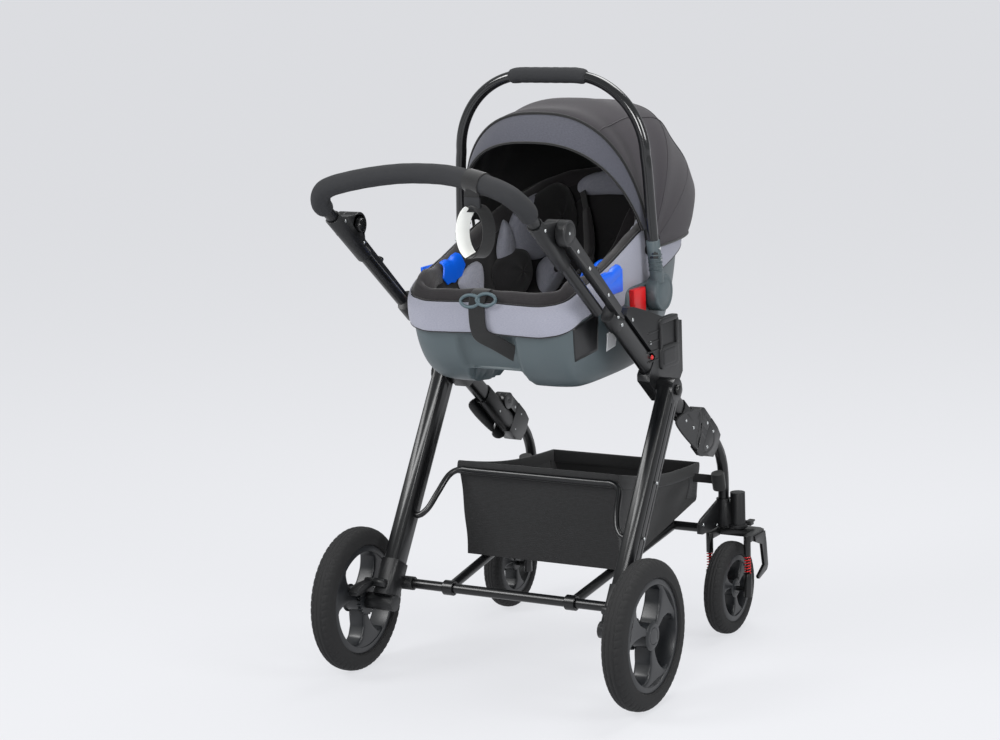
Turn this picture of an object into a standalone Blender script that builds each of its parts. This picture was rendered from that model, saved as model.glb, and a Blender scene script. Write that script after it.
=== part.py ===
"""Travel system stroller: folding chassis, swivelling sprung casters and an infant carrier on adapters.

Metres, +Z up, +Y the way the stroller rolls forward, +X its right side. Every shape is drawn in the
axle frame (Y = 0 above the rear axle, Z = 0 on the ground); one parent empty then moves the whole
stroller so that the origin lies under the middle of its box. Left pieces mirror the right ones.
"""
import math

import bmesh
import bpy
from mathutils import Matrix, Vector

# Gaps
FIT = 0.0003
RUNNING_GAP = 0.0006
BOX_CENTRE_Y = 0.1979

# Rear wheels
REAR_TRACK_HALF = 0.311
REAR_TYRE_RADIUS = 0.140
REAR_TYRE_WIDTH = 0.045
REAR_RIM_RADIUS = 0.105
REAR_RIM_WIDTH = 0.038
REAR_HUB_RADIUS = 0.023
REAR_AXLE_RADIUS = 0.006
GEAR_TEETH = 24
GEAR_RADIUS = 0.030
GEAR_ROOT_RADIUS = 0.026
GEAR_WIDTH = 0.008

# Front wheels
FRONT_TYRE_RADIUS = 0.093
FRONT_TYRE_WIDTH = 0.036
FRONT_RIM_RADIUS = 0.067
FRONT_RIM_WIDTH = 0.032
FRONT_HUB_RADIUS = 0.015
FRONT_AXLE_RADIUS = 0.005
RIM_WEB = 0.003
RIM_BARREL_WALL = 0.005
SPOKE_COUNT = 3
REAR_WHEEL_SIDES = 24
FRONT_WHEEL_SIDES = 18

# Chassis side frame: a line of tubes that falls forward, seen from the side
FRAME_SLOPE_DEG = 40.3
FRAME_START_Y = 0.0846
FRAME_START_Z = 0.711
FRAME_X = 0.218
LOWER_TUBE_HEIGHT = 0.038
LOWER_TUBE_WIDTH = 0.022
LOWER_TUBE_START = -0.005
SLEEVE_START = 0.352
SLEEVE_WALL = 0.0025
SOCKET_DEPTH = 0.024
FOLD_SPLIT = 0.470
FOLD_PIVOT_ALONG = 0.431
FOLD_PIVOT_ABOVE = 0.0295
FOLD_DRUM_RADIUS = 0.017
FOLD_PIN_RADIUS = 0.004

# Push handle
PUSH_TUBE_RADIUS = 0.011
PUSH_TUBE_X = 0.209
PUSH_TUBE_BELOW = 0.0135
HUB_ALONG = -0.257
HUB_ABOVE = 0.014
HUB_DRUM_RADIUS = 0.020
HUB_SPLIT_X = 0.2213
HUB_OUTER_X = 0.239
HUB_INNER_X = 0.196
HUB_ARM_WIDTH = 0.0145
HUB_ARM_HEIGHT = 0.017
HUB_CASING_RADIUS = 0.0122
HUB_BUTTON_RADIUS = 0.013
HUB_BUTTON_TRAVEL = 0.004
HUB_BUTTON_REACH = 0.007
SLIDER_ALONG = -0.119
SLIDER_RADIUS = 0.0065
SLIDER_TRAVEL = 0.008
HANDLE_TAIL_ALONG = -0.036
HANDLE_BEND_ALONG = -0.330
HANDLE_TOP_Z = 0.997
FOAM_RADIUS = 0.018
FOAM_BORE_GAP = 0.0003
HANDLE_SIDES = 8
STRAP_X = 0.100
STRAP_DROP = 0.185

# Rear legs and axle
LEG_X = 0.2475
LEG_WIDTH = 0.034
LEG_DEPTH = 0.046
LEG_PIVOT_ALONG = 0.2387
LEG_PIVOT_BELOW = 0.018
LEG_PIN_RADIUS = 0.005
LEG_END_ABOVE_AXLE = 0.047
COLLAR_TOP_ABOVE_AXLE = 0.082
COLLAR_WALL = 0.003
AXLE_BARREL_RADIUS = 0.016
CROSS_TUBE_RADIUS = 0.0095
CROSS_TUBE_Y = 0.056
CROSS_TUBE_RISE = 0.026
PEDAL_PIN_RADIUS = 0.003

# Floor frame
LINK_RADIUS = 0.0095
LINK_REAR_X = 0.133
LINK_FRONT_X = 0.150
FRONT_CROSS_RADIUS = 0.009
FRONT_CROSS_Y = 0.455
FRONT_CROSS_Z = 0.222
FRONT_CROSS_HALF = 0.208

# Front legs and casters
CASTER_X = 0.251
CASTER_Y = 0.545
CASTER_TRAIL = 0.048
FRONT_LEG_X = 0.220
FRONT_LEG_RADIUS = 0.011
CROWN_THICKNESS = 0.013
CROWN_CLEARANCE = 0.004
SOCKET_HEIGHT = 0.057
SWIVEL_HEIGHT = 0.072
SWIVEL_RADIUS = 0.015
STEM_RADIUS = 0.006
STEM_LENGTH = 0.036
TOWER_OFFSET = 0.041
TOWER_RADIUS = 0.0075
SUSPENSION_TRAVEL = 0.010
SPRING_LENGTH = 0.036
SPRING_MEAN_RADIUS = 0.0062
SPRING_WIRE_RADIUS = 0.0009
SPRING_TURNS = 6
SPRING_STEPS = 7
GUIDE_ROD_RADIUS = 0.003
CARRIER_RADIUS = 0.0085

# Basket
HOOP_RADIUS = 0.006
HOOP_TOP_Z = 0.372
HOOP_Y = 0.170
BASKET_HALF_WIDTH = 0.175
BASKET_FRONT_Y = 0.542
BASKET_WALL = 0.003

# Infant carrier
SEAT_HALF_WIDTH = 0.1845
SEAT_FRONT_Y = -0.012
SEAT_HEAD_Y = 0.605
SHELL_BOTTOM_Z = 0.5675
SHELL_WALL = 0.004
BAND_THICKNESS = 0.0065
BAND_HEIGHT = 0.055
CHANNEL_HALF_WIDTH = 0.058
CHANNEL_TOP_Z = 0.605
LINER_UNDERSIDE_Z = 0.617
LINER_SEAT_Z = 0.660
CARRY_HUB_Y = 0.302
CARRY_HUB_Z = 0.720
CARRY_HUB_RADIUS = 0.036
CARRY_HUB_INNER_X = 0.197
CARRY_HUB_WIDTH = 0.022
CARRY_TUBE_RADIUS = 0.0095
CARRY_BASE_X = 0.211
CARRY_TOP_X = 0.193
CARRY_TOP_Z = 1.131
CARRY_CORNER_RADIUS = 0.148
CARRY_GRIP_HALF = 0.090
CARRY_GRIP_RADIUS = 0.015
ADAPTER_INNER_X = 0.2042
ADAPTER_OUTER_X = 0.2302
TONGUE_REACH_X = 0.2120
TONGUE_BOTTOM_Z = 0.640
RED_BUTTON_TRAVEL = 0.004
HOOD_PIVOT_Y = 0.300
HOOD_PIVOT_Z = 0.800
HOOD_THICKNESS = 0.002
HOOD_HOOP_X = 0.1888
HOOD_HOOP_RADIUS = 0.0035
HARNESS_WIDTH = 0.034
HARNESS_THICKNESS = 0.0025

# Levels and places that follow from the sizes above
SLOPE = math.radians(FRAME_SLOPE_DEG)
REAR_AXLE_Z = REAR_TYRE_RADIUS
FRONT_AXLE_Z = FRONT_TYRE_RADIUS
FRONT_AXLE_Y = CASTER_Y - CASTER_TRAIL
CROWN_BOTTOM_Z = 2 * FRONT_TYRE_RADIUS + CROWN_CLEARANCE
CROWN_TOP_Z = CROWN_BOTTOM_Z + CROWN_THICKNESS
SOCKET_BOTTOM_Z = CROWN_TOP_Z + 0.003

# Colours seen on the object
BLACK_PLASTIC = (0.012, 0.013, 0.014)
BLACK_METAL = (0.010, 0.011, 0.012)
RUBBER = (0.020, 0.020, 0.021)
FOAM = (0.022, 0.022, 0.023)
BLACK_CLOTH = (0.008, 0.008, 0.009)
HOOD_GREY = (0.046, 0.043, 0.052)
BAND_GREY = (0.270, 0.260, 0.300)
SHELL_GREY = (0.050, 0.068, 0.076)
RED = (0.700, 0.010, 0.012)
BLUE = (0.004, 0.130, 0.800)


def clear_scene():
    """Remove whatever the file holds, so that the build starts empty."""
    for item in list(bpy.data.objects):
        bpy.data.objects.remove(item, do_unlink=True)


def add_object(name, points, faces):
    """Make a mesh object whose faces all point outward."""
    mesh = bpy.data.meshes.new(name)
    mesh.from_pydata([tuple(point) for point in points], [], faces)
    draft = bmesh.new()
    draft.from_mesh(mesh)
    bmesh.ops.recalc_face_normals(draft, faces=draft.faces)
    draft.to_mesh(mesh)
    draft.free()
    item = bpy.data.objects.new(name, mesh)
    bpy.context.scene.collection.objects.link(item)
    return item


def loft(name, rings, ring_shaped=False):
    """Skin rings of equal length one after another; close both ends, or the whole chain into a ring."""
    count = len(rings[0])
    total = len(rings)
    points = [point for ring in rings for point in ring]
    faces = []
    for row in range(total if ring_shaped else total - 1):
        here = row * count
        ahead = (row + 1) % total * count
        for spot in range(count):
            beside = (spot + 1) % count
            faces.append((here + spot, here + beside, ahead + beside, ahead + spot))
    if not ring_shaped:
        faces.append(tuple(range(count)))
        faces.append(tuple(range((total - 1) * count, total * count)))
    return add_object(name, points, faces)


def circle(radius, sides):
    """Section of a round bar."""
    return oval(2 * radius, 2 * radius, sides, 2.0)


def oval(width, height, sides, power):
    """Superellipse section, |u/a|^p + |v/b|^p = 1, as (side, height) pairs."""
    section = []
    for step in range(sides):
        angle = 2 * math.pi * step / sides
        across = math.copysign(abs(math.cos(angle)) ** (2 / power), math.cos(angle))
        along = math.copysign(abs(math.sin(angle)) ** (2 / power), math.sin(angle))
        section.append((width / 2 * across, height / 2 * along))
    return section


def sweep(name, path, section, up, ring_shaped=False):
    """Carry a section along a path; 'up' is where its height axis points at the start."""
    path = [Vector(point) for point in path]
    last = len(path) - 1
    height = Vector(up)
    rings = []
    for step, point in enumerate(path):
        if ring_shaped:
            tangent = (path[(step + 1) % len(path)] - path[step - 1]).normalized()
        else:
            tangent = (path[min(step + 1, last)] - path[max(step - 1, 0)]).normalized()
        height = (height - tangent * height.dot(tangent)).normalized()
        side = tangent.cross(height)
        rings.append([point + side * u + height * v for u, v in section])
    return loft(name, rings, ring_shaped)


def rod(name, start, end, radius, sides=12):
    """Round bar between two points."""
    along = (Vector(end) - Vector(start)).normalized()
    up = Vector((0, 0, 1)) if abs(along.z) < 0.9 else Vector((0, 1, 0))
    return sweep(name, [start, end], circle(radius, sides), up)


def turned(name, profile, centre, sides, ring_shaped=False):
    """Turn a profile of (radius, x offset) round an X axis through the centre."""
    rings = []
    for radius, offset in profile:
        ring = []
        for step in range(sides):
            angle = 2 * math.pi * step / sides
            ring.append((centre[0] + offset, centre[1] + radius * math.cos(angle),
                         centre[2] + radius * math.sin(angle)))
        rings.append(ring)
    return loft(name, rings, ring_shaped)


def plate(name, outline, low_x, high_x):
    """Flat plate from a side-view outline of (y, z) points."""
    rings = [[(x, y, z) for y, z in outline] for x in (low_x, high_x)]
    return loft(name, rings)


def slab(name, outline, low_z, high_z):
    """Flat slab from a plan outline of (x, y) points."""
    rings = [[(x, y, z) for x, y in outline] for z in (low_z, high_z)]
    return loft(name, rings)


def box(name, low, high):
    """Box between two corners."""
    outline = [(low[0], low[1]), (high[0], low[1]), (high[0], high[1]), (low[0], high[1])]
    return slab(name, outline, low[2], high[2])


def combine(target, tool, operation):
    """Apply an exact Boolean of one closed piece to another and drop the tool."""
    change = target.modifiers.new("combine", "BOOLEAN")
    change.operation = operation
    change.solver = "EXACT"
    change.object = tool
    bpy.context.view_layer.update()
    graph = bpy.context.evaluated_depsgraph_get()
    target_mesh = bpy.data.meshes.new_from_object(target.evaluated_get(graph))
    target.modifiers.clear()
    target.data = target_mesh
    bpy.data.objects.remove(tool, do_unlink=True)


def fuse(target, *tools):
    for tool in tools:
        combine(target, tool, "UNION")
    return target


def cut(target, *tools):
    for tool in tools:
        combine(target, tool, "DIFFERENCE")
    return target


def smooth_path(points, steps, closed=False):
    """Catmull-Rom curve through hand-set points."""
    points = [Vector(point) for point in points]
    count = len(points)
    spans = count if closed else count - 1
    path = []
    for span in range(spans):
        if closed:
            p0, p1, p2, p3 = (points[(span + k) % count] for k in (-1, 0, 1, 2))
        else:
            p0, p1, p2, p3 = (points[min(max(span + k, 0), count - 1)] for k in (-1, 0, 1, 2))
        for step in range(steps):
            t = step / steps
            path.append(0.5 * (2 * p1 + (p2 - p0) * t + (2 * p0 - 5 * p1 + 4 * p2 - p3) * t ** 2
                               + (3 * p1 - p0 - 3 * p2 + p3) * t ** 3))
    if not closed:
        path.append(points[-1])
    return path


def on_frame(along, above):
    """Side-view point (y, z) at a distance down the tube line and a height square to it."""
    y = FRAME_START_Y + along * math.cos(SLOPE) + above * math.sin(SLOPE)
    z = FRAME_START_Z - along * math.sin(SLOPE) + above * math.cos(SLOPE)
    return y, z


def frame_up():
    return Vector((0, math.sin(SLOPE), math.cos(SLOPE)))


def arc(centre, radius, start_deg, end_deg, steps):
    """Points (a, b) on an arc, ends included."""
    points = []
    for step in range(steps + 1):
        angle = math.radians(start_deg + (end_deg - start_deg) * step / steps)
        points.append((centre[0] + radius * math.cos(angle), centre[1] + radius * math.sin(angle)))
    return points


LEG_PIVOT = on_frame(LEG_PIVOT_ALONG, -LEG_PIVOT_BELOW)
FOLD_PIVOT = on_frame(FOLD_PIVOT_ALONG, FOLD_PIVOT_ABOVE)
HUB = on_frame(HUB_ALONG, HUB_ABOVE)
CROSS_TUBE_Z = REAR_AXLE_Z + CROSS_TUBE_RISE


def finish(item, color, roughness, metallic=0.0):
    """Give a node its own material and smooth round faces with sharp edges kept."""
    surface = bpy.data.materials.new(item.name)
    surface.use_nodes = True
    shader = surface.node_tree.nodes["Principled BSDF"]
    shader.inputs["Base Color"].default_value = (*color, 1.0)
    shader.inputs["Roughness"].default_value = roughness
    shader.inputs["Metallic"].default_value = metallic
    item.data.materials.clear()
    item.data.materials.append(surface)
    item.data.shade_smooth()
    item.data.set_sharp_from_angle(angle=math.radians(35))


def place(item, pivot, root, color, roughness, metallic=0.0):
    """Put the origin on the pivot and hang the piece on the root empty."""
    item.data.transform(Matrix.Translation(-Vector(pivot)))
    item.location = Vector(pivot)
    item.parent = root
    finish(item, color, roughness, metallic)
    return item


def place_pair(item, pivot, root, color, roughness, metallic=0.0):
    """Place a right-hand piece as NAME_r and its mirror image across X as NAME_l."""
    name = item.name
    twin_mesh = item.data.copy()
    twin_mesh.transform(Matrix.Diagonal((-1, 1, 1, 1)))
    twin_mesh.flip_normals()
    twin = bpy.data.objects.new(name + "_l", twin_mesh)
    bpy.context.scene.collection.objects.link(twin)
    item.name = name + "_r"
    place(item, pivot, root, color, roughness, metallic)
    place(twin, (-pivot[0], pivot[1], pivot[2]), root, color, roughness, metallic)


def rim_opening(radius):
    """One of the spoke openings: (radius share, angle in degrees) points, smoothed."""
    corners = [(0.885, 131), (0.90, 110), (0.90, 87), (0.885, 64), (0.60, 54), (0.33, 48),
               (0.285, 72), (0.255, 105), (0.247, 138), (0.50, 143), (0.73, 137)]
    points = []
    for share, degrees in corners:
        angle = math.radians(degrees)
        points.append((share * radius * math.cos(angle), share * radius * math.sin(angle), 0))
    return [(point.x, point.y) for point in smooth_path(points, 1, closed=True)]


def turned_outline(outline, turn, centre):
    """Turn a wheel-plane outline by an angle and move it to the wheel's centre."""
    points = []
    for a, b in outline:
        points.append((centre[1] + a * math.cos(turn) - b * math.sin(turn),
                       centre[2] + a * math.sin(turn) + b * math.cos(turn)))
    return points


def spoked_rim(name, centre, radius, width, hub_radius, hub_inner, hub_outer, sides):
    """Rim barrel, web and hub turned as one piece, with the spoke openings cut through the web."""
    half = width / 2
    barrel = radius - RIM_BARREL_WALL
    web_top = half - 0.001
    web_bottom = web_top - RIM_WEB
    profile = [(0.0004, hub_inner), (hub_radius, hub_inner), (hub_radius, web_bottom),
               (barrel, web_bottom), (barrel, -half), (radius, -half), (radius, half),
               (barrel, half), (barrel, web_top), (hub_radius + 0.003, web_top),
               (hub_radius, hub_outer), (0.0004, hub_outer)]
    rim = turned(name, profile, centre, sides)
    for spoke in range(SPOKE_COUNT):
        turn = 2 * math.pi * spoke / SPOKE_COUNT
        outline = turned_outline(rim_opening(radius), turn, centre)
        low = centre[0] + web_bottom - 0.004
        cut(rim, plate("opening", outline, low, centre[0] + half + 0.004))
    return rim


def tyre(name, centre, radius, width, rim_radius, sides):
    """Closed rubber ring: a flat bore on the rim and a domed tread, r = bore + rise * sin(a)^0.6."""
    bore = rim_radius + FIT
    profile = []
    steps = 8
    for step in range(steps + 1):
        angle = math.pi * step / steps
        across = -math.copysign(abs(math.cos(angle)) ** 0.75, math.cos(angle))
        rise = max(math.sin(angle), 0) ** 0.6
        profile.append((bore + 0.003 + (radius - bore - 0.003) * rise, width / 2 * across))
    profile.append((bore, width / 2 * 0.84))
    profile.append((bore, -width / 2 * 0.84))
    return turned(name, profile, centre, sides, ring_shaped=True)


def build_rear_wheels(root):
    centre = (REAR_TRACK_HALF, 0, REAR_AXLE_Z)
    half = REAR_RIM_WIDTH / 2
    gear_inner = -half - GEAR_WIDTH
    rim = spoked_rim("rear_rim", centre, REAR_RIM_RADIUS, REAR_RIM_WIDTH, REAR_HUB_RADIUS,
                     gear_inner + 0.0005, half + 0.0015, REAR_WHEEL_SIDES)
    teeth = []
    pitch = 2 * math.pi / GEAR_TEETH
    for tooth in range(GEAR_TEETH):
        for share, radius in ((0.0, GEAR_ROOT_RADIUS), (0.38, GEAR_RADIUS), (0.62, GEAR_RADIUS)):
            angle = (tooth + share) * pitch
            teeth.append((centre[1] + radius * math.cos(angle), centre[2] + radius * math.sin(angle)))
    fuse(rim, plate("gear", teeth, centre[0] + gear_inner, centre[0] - half + 0.0005))
    bore_end = centre[0] + half - 0.0025
    cut(rim, rod("bore", (centre[0] + gear_inner - 0.01, 0, REAR_AXLE_Z), (bore_end, 0, REAR_AXLE_Z),
                 REAR_AXLE_RADIUS + FIT, 12))
    place_pair(rim, centre, root, BLACK_PLASTIC, 0.45)
    rubber = tyre("rear_tyre", centre, REAR_TYRE_RADIUS, REAR_TYRE_WIDTH, REAR_RIM_RADIUS,
                  REAR_WHEEL_SIDES)
    place_pair(rubber, centre, root, RUBBER, 0.85)


def build_front_wheels(root):
    centre = (CASTER_X, FRONT_AXLE_Y, FRONT_AXLE_Z)
    half = FRONT_RIM_WIDTH / 2
    rim = spoked_rim("front_rim", centre, FRONT_RIM_RADIUS, FRONT_RIM_WIDTH, FRONT_HUB_RADIUS,
                     -half, half + 0.001, FRONT_WHEEL_SIDES)
    cut(rim, rod("bore", (CASTER_X - 0.05, FRONT_AXLE_Y, FRONT_AXLE_Z),
                 (CASTER_X + 0.05, FRONT_AXLE_Y, FRONT_AXLE_Z), FRONT_AXLE_RADIUS + FIT, 12))
    place_pair(rim, centre, root, BLACK_PLASTIC, 0.45)
    rubber = tyre("front_tyre", centre, FRONT_TYRE_RADIUS, FRONT_TYRE_WIDTH, FRONT_RIM_RADIUS,
                  FRONT_WHEEL_SIDES)
    place_pair(rubber, centre, root, RUBBER, 0.85)


def tube_section(growth=0.0):
    """Section of the oval chassis tube, grown all round by a distance."""
    return oval(LOWER_TUBE_WIDTH + 2 * growth, LOWER_TUBE_HEIGHT + 2 * growth, 16, 2.6)


def along_frame(name, start, end, growth):
    """Oval bar along the chassis tube line."""
    path = [(FRAME_X, *on_frame(start, 0)), (FRAME_X, *on_frame(end, 0))]
    return sweep(name, path, tube_section(growth), frame_up())


def frame_plate(name, outline, low_x, high_x):
    """Plate whose outline is given as (along, above) the chassis tube line."""
    return plate(name, [on_frame(a, b) for a, b in outline], low_x, high_x)


def build_side_frames(root):
    tube_end = SLEEVE_START + SOCKET_DEPTH
    tube = along_frame("lower_tube", LOWER_TUBE_START, tube_end - FIT, 0)
    place_pair(tube, (FRAME_X, *on_frame(0, 0)), root, BLACK_METAL, 0.38, 0.6)

    sleeve = along_frame("fold_joint_upper", SLEEVE_START, FOLD_SPLIT, FIT + SLEEVE_WALL)
    half_width = LOWER_TUBE_WIDTH / 2 + FIT + SLEEVE_WALL
    inner_x = FRAME_X - half_width
    outer_x = FRAME_X + half_width
    lap_x = FRAME_X
    knuckle = FOLD_SPLIT - FOLD_PIVOT_ALONG - 0.0005
    pivot = (FOLD_PIVOT_ALONG, FOLD_PIVOT_ABOVE)
    ear = arc(pivot, knuckle, 0, 25, 3) + arc(pivot, FOLD_DRUM_RADIUS, 90, 180, 6)
    ear += [(pivot[0] - FOLD_DRUM_RADIUS, pivot[1] - 0.014), (pivot[0] + knuckle - 0.003, pivot[1] - 0.014)]
    fuse(sleeve, frame_plate("ear", ear, lap_x + FIT, outer_x))
    drum_centre = on_frame(*pivot)
    cut(sleeve, along_frame("socket", SLEEVE_START - 0.01, tube_end, FIT))
    cut(sleeve, rod("pocket", (inner_x - 0.002, *drum_centre), (lap_x, *drum_centre),
                    FOLD_DRUM_RADIUS + RUNNING_GAP, 20))
    fuse(sleeve, rod("pin", (outer_x - 0.002, *drum_centre), (inner_x, *drum_centre), FOLD_PIN_RADIUS, 12))
    place_pair(sleeve, (FRAME_X, *on_frame(SLEEVE_START, 0)), root, BLACK_PLASTIC, 0.5)


def build_adapters(root):
    pivot = LEG_PIVOT
    outline = [on_frame(0.032, 0.0195), on_frame(0.032, 0.036), (0.153, 0.716), (0.204, 0.701),
               (0.267, 0.680), (0.314, 0.667), (0.352, 0.659), (0.352, 0.560), (0.328, 0.535),
               on_frame(0.275, -0.026), on_frame(0.265, -0.031), on_frame(0.190, -0.031),
               on_frame(0.182, -0.022), on_frame(0.182, 0.0195)]
    adapter = plate("seat_adapter", outline, ADAPTER_INNER_X, ADAPTER_OUTER_X)
    cut(adapter, along_frame("bore", -0.05, SLEEVE_START, FIT))
    slot_low = (ADAPTER_INNER_X - 0.01, CARRY_HUB_Y - 0.0305, TONGUE_BOTTOM_Z - FIT)
    slot_high = (TONGUE_REACH_X + RUNNING_GAP, CARRY_HUB_Y + 0.0335, 0.75)
    cut(adapter, box("slot", slot_low, slot_high))
    head_x = LEG_X + LEG_WIDTH / 2 + RUNNING_GAP
    fuse(adapter, rod("pin", (ADAPTER_OUTER_X - 0.0008, *pivot), (head_x + 0.003, *pivot), LEG_PIN_RADIUS),
         rod("head", (head_x, *pivot), (head_x + 0.004, *pivot), 2 * LEG_PIN_RADIUS))
    place_pair(adapter, (FRAME_X, *pivot), root, BLACK_PLASTIC, 0.5)


def build_handle_brackets(root):
    arm_low = HUB_SPLIT_X + FIT
    bracket = frame_plate("hub_lower", arc((HUB_ALONG, HUB_ABOVE), HUB_DRUM_RADIUS, 0, 342, 19),
                          arm_low, HUB_OUTER_X)
    arm = [(HUB_ALONG, 0), (0.0, 0), (0.0, HUB_ARM_HEIGHT), (HUB_ALONG, HUB_ARM_HEIGHT + 0.008)]
    fuse(bracket, frame_plate("arm", arm, arm_low, arm_low + HUB_ARM_WIDTH),
         along_frame("collar", LOWER_TUBE_START - 0.007, 0.030, SLEEVE_WALL))
    cut(bracket, along_frame("socket", LOWER_TUBE_START - FIT, 0.10, FIT))
    slot_low = SLIDER_ALONG - 0.004
    slot_high = SLIDER_ALONG + SLIDER_TRAVEL + 0.004
    slot_x = arm_low + HUB_ARM_WIDTH / 2
    slot = [(slot_low, HUB_ARM_HEIGHT - 0.008), (slot_high, HUB_ARM_HEIGHT - 0.008),
            (slot_high, HUB_ARM_HEIGHT + 0.02), (slot_low, HUB_ARM_HEIGHT + 0.02)]
    cut(bracket, frame_plate("slot", slot, slot_x - 0.003, slot_x + 0.003))
    place_pair(bracket, (slot_x, *HUB), root, BLACK_PLASTIC, 0.5)

    top = HUB_ARM_HEIGHT + 0.004
    knob = rod("fold_slider", (slot_x, *on_frame(SLIDER_ALONG, top)),
               (slot_x, *on_frame(SLIDER_ALONG, top + 0.007)), SLIDER_RADIUS, 14)
    fuse(knob, rod("stem", (slot_x, *on_frame(SLIDER_ALONG, HUB_ARM_HEIGHT - 0.007)),
                   (slot_x, *on_frame(SLIDER_ALONG, top + 0.002)), 0.0025, 8))
    place_pair(knob, (slot_x, *on_frame(SLIDER_ALONG, HUB_ARM_HEIGHT)), root, BLACK_PLASTIC, 0.4)


def handle_path():
    """Centre line of the push handle from the left tail over the top to the right tail."""
    tail = on_frame(HANDLE_TAIL_ALONG, -PUSH_TUBE_BELOW)
    bend = on_frame(HANDLE_BEND_ALONG, -PUSH_TUBE_BELOW)
    x = PUSH_TUBE_X
    top = HANDLE_TOP_Z
    knots = [(x, *bend), (x + 0.001, -0.205, top - 0.055), (0.186, -0.222, top - 0.028),
             (0.130, -0.212, top - 0.012), (0.060, -0.195, top - 0.002), (0, -0.188, top)]
    knots += [(-point[0], point[1], point[2]) for point in reversed(knots[:-1])]
    curve = smooth_path(knots, 2)
    return [Vector((x, *tail))] + curve + [Vector((-x, *tail))]


def build_handle(root):
    path = handle_path()
    bar = sweep("handlebar_tube", path, circle(PUSH_TUBE_RADIUS, HANDLE_SIDES), (1, 0, 0))
    place(bar, (0, *HUB), root, BLACK_METAL, 0.35, 0.6)

    foam_path = path[2:-2]
    foam = sweep("handle_foam", foam_path, circle(FOAM_RADIUS, HANDLE_SIDES), (1, 0, 0))
    bore_path = [foam_path[0] + (foam_path[0] - foam_path[1])] + foam_path
    bore_path.append(foam_path[-1] + (foam_path[-1] - foam_path[-2]))
    cut(foam, sweep("bore", bore_path, circle(PUSH_TUBE_RADIUS + FOAM_BORE_GAP, HANDLE_SIDES), (1, 0, 0)))
    place(foam, (0, *HUB), root, FOAM, 0.9)

    tube_up = on_frame(HUB_ALONG - 0.068, -PUSH_TUBE_BELOW)
    tube_down = on_frame(HUB_ALONG + 0.062, -PUSH_TUBE_BELOW)
    casing = rod("hub_upper", (PUSH_TUBE_X, *tube_up), (PUSH_TUBE_X, *tube_down), HUB_CASING_RADIUS + 0.0025, 16)
    shoulder = [(HUB_ALONG - 0.062, -0.010), (HUB_ALONG + 0.045, -0.010), (HUB_ALONG + 0.030, 0.004)]
    shoulder += arc((HUB_ALONG, HUB_ABOVE), HUB_DRUM_RADIUS, 0, 120, 8) + [(HUB_ALONG - 0.045, 0.004)]
    fuse(casing, frame_plate("shoulder", shoulder, HUB_INNER_X, HUB_SPLIT_X))
    cut(casing, box("split", (HUB_SPLIT_X, -1, 0), (HUB_SPLIT_X + 0.1, 1, 2)))
    bore_up = on_frame(HUB_ALONG - 0.2, -PUSH_TUBE_BELOW)
    bore_down = on_frame(HUB_ALONG + 0.2, -PUSH_TUBE_BELOW)
    cut(casing, rod("bore", (PUSH_TUBE_X, *bore_up), (PUSH_TUBE_X, *bore_down), PUSH_TUBE_RADIUS + FIT, 16))
    recess_x = HUB_INNER_X + HUB_BUTTON_REACH + HUB_BUTTON_TRAVEL
    cut(casing, rod("recess", (HUB_INNER_X - 0.02, *HUB), (recess_x, *HUB), HUB_BUTTON_RADIUS + 0.0005, 16))
    place_pair(casing, (PUSH_TUBE_X, *HUB), root, BLACK_PLASTIC, 0.5)

    button = rod("hub_button", (HUB_INNER_X - 0.006, *HUB), (HUB_INNER_X + HUB_BUTTON_REACH - RUNNING_GAP, *HUB),
                 HUB_BUTTON_RADIUS, 16)
    place_pair(button, (HUB_INNER_X, *HUB), root, BLACK_PLASTIC, 0.35)


def build_wrist_strap(root):
    path = handle_path()
    nearest = min(range(len(path)), key=lambda spot: abs(path[spot].x - STRAP_X))
    anchor = path[nearest]
    outer = FOAM_RADIUS + 0.0028
    start = anchor - Vector((0.011, 0, 0))
    end = anchor + Vector((0.011, 0, 0))
    strap = rod("wrist_strap", start, end, outer, 16)
    low = (anchor.x - 0.011, anchor.y - outer + 0.0005, anchor.z - STRAP_DROP)
    high = (anchor.x + 0.011, anchor.y - outer + 0.0040, anchor.z)
    fuse(strap, box("hanging", low, high))
    bore = []
    for spot in range(nearest - 3, nearest + 4):
        bore.append(path[spot])
    cut(strap, sweep("bore", bore, circle(FOAM_RADIUS + 0.0007, 16), (1, 0, 0)))
    place(strap, anchor, root, BLACK_CLOTH, 0.95)


def leg_point(up, across=0.0):
    """Side-view point on the rear leg: distance up from the axle and square to the leg, forward."""
    run = Vector((LEG_PIVOT[0], LEG_PIVOT[1] - REAR_AXLE_Z)).normalized()
    y = up * run.x + across * run.y
    z = REAR_AXLE_Z + up * run.y - across * run.x
    return y, z


def along_leg(name, low, high, growth):
    """Rounded-box bar along the rear leg's line."""
    section = oval(LEG_WIDTH + 2 * growth, LEG_DEPTH + 2 * growth, 16, 4.0)
    path = [(LEG_X, *leg_point(low)), (LEG_X, *leg_point(high))]
    return sweep(name, path, section, (0, 1, 0))


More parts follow.
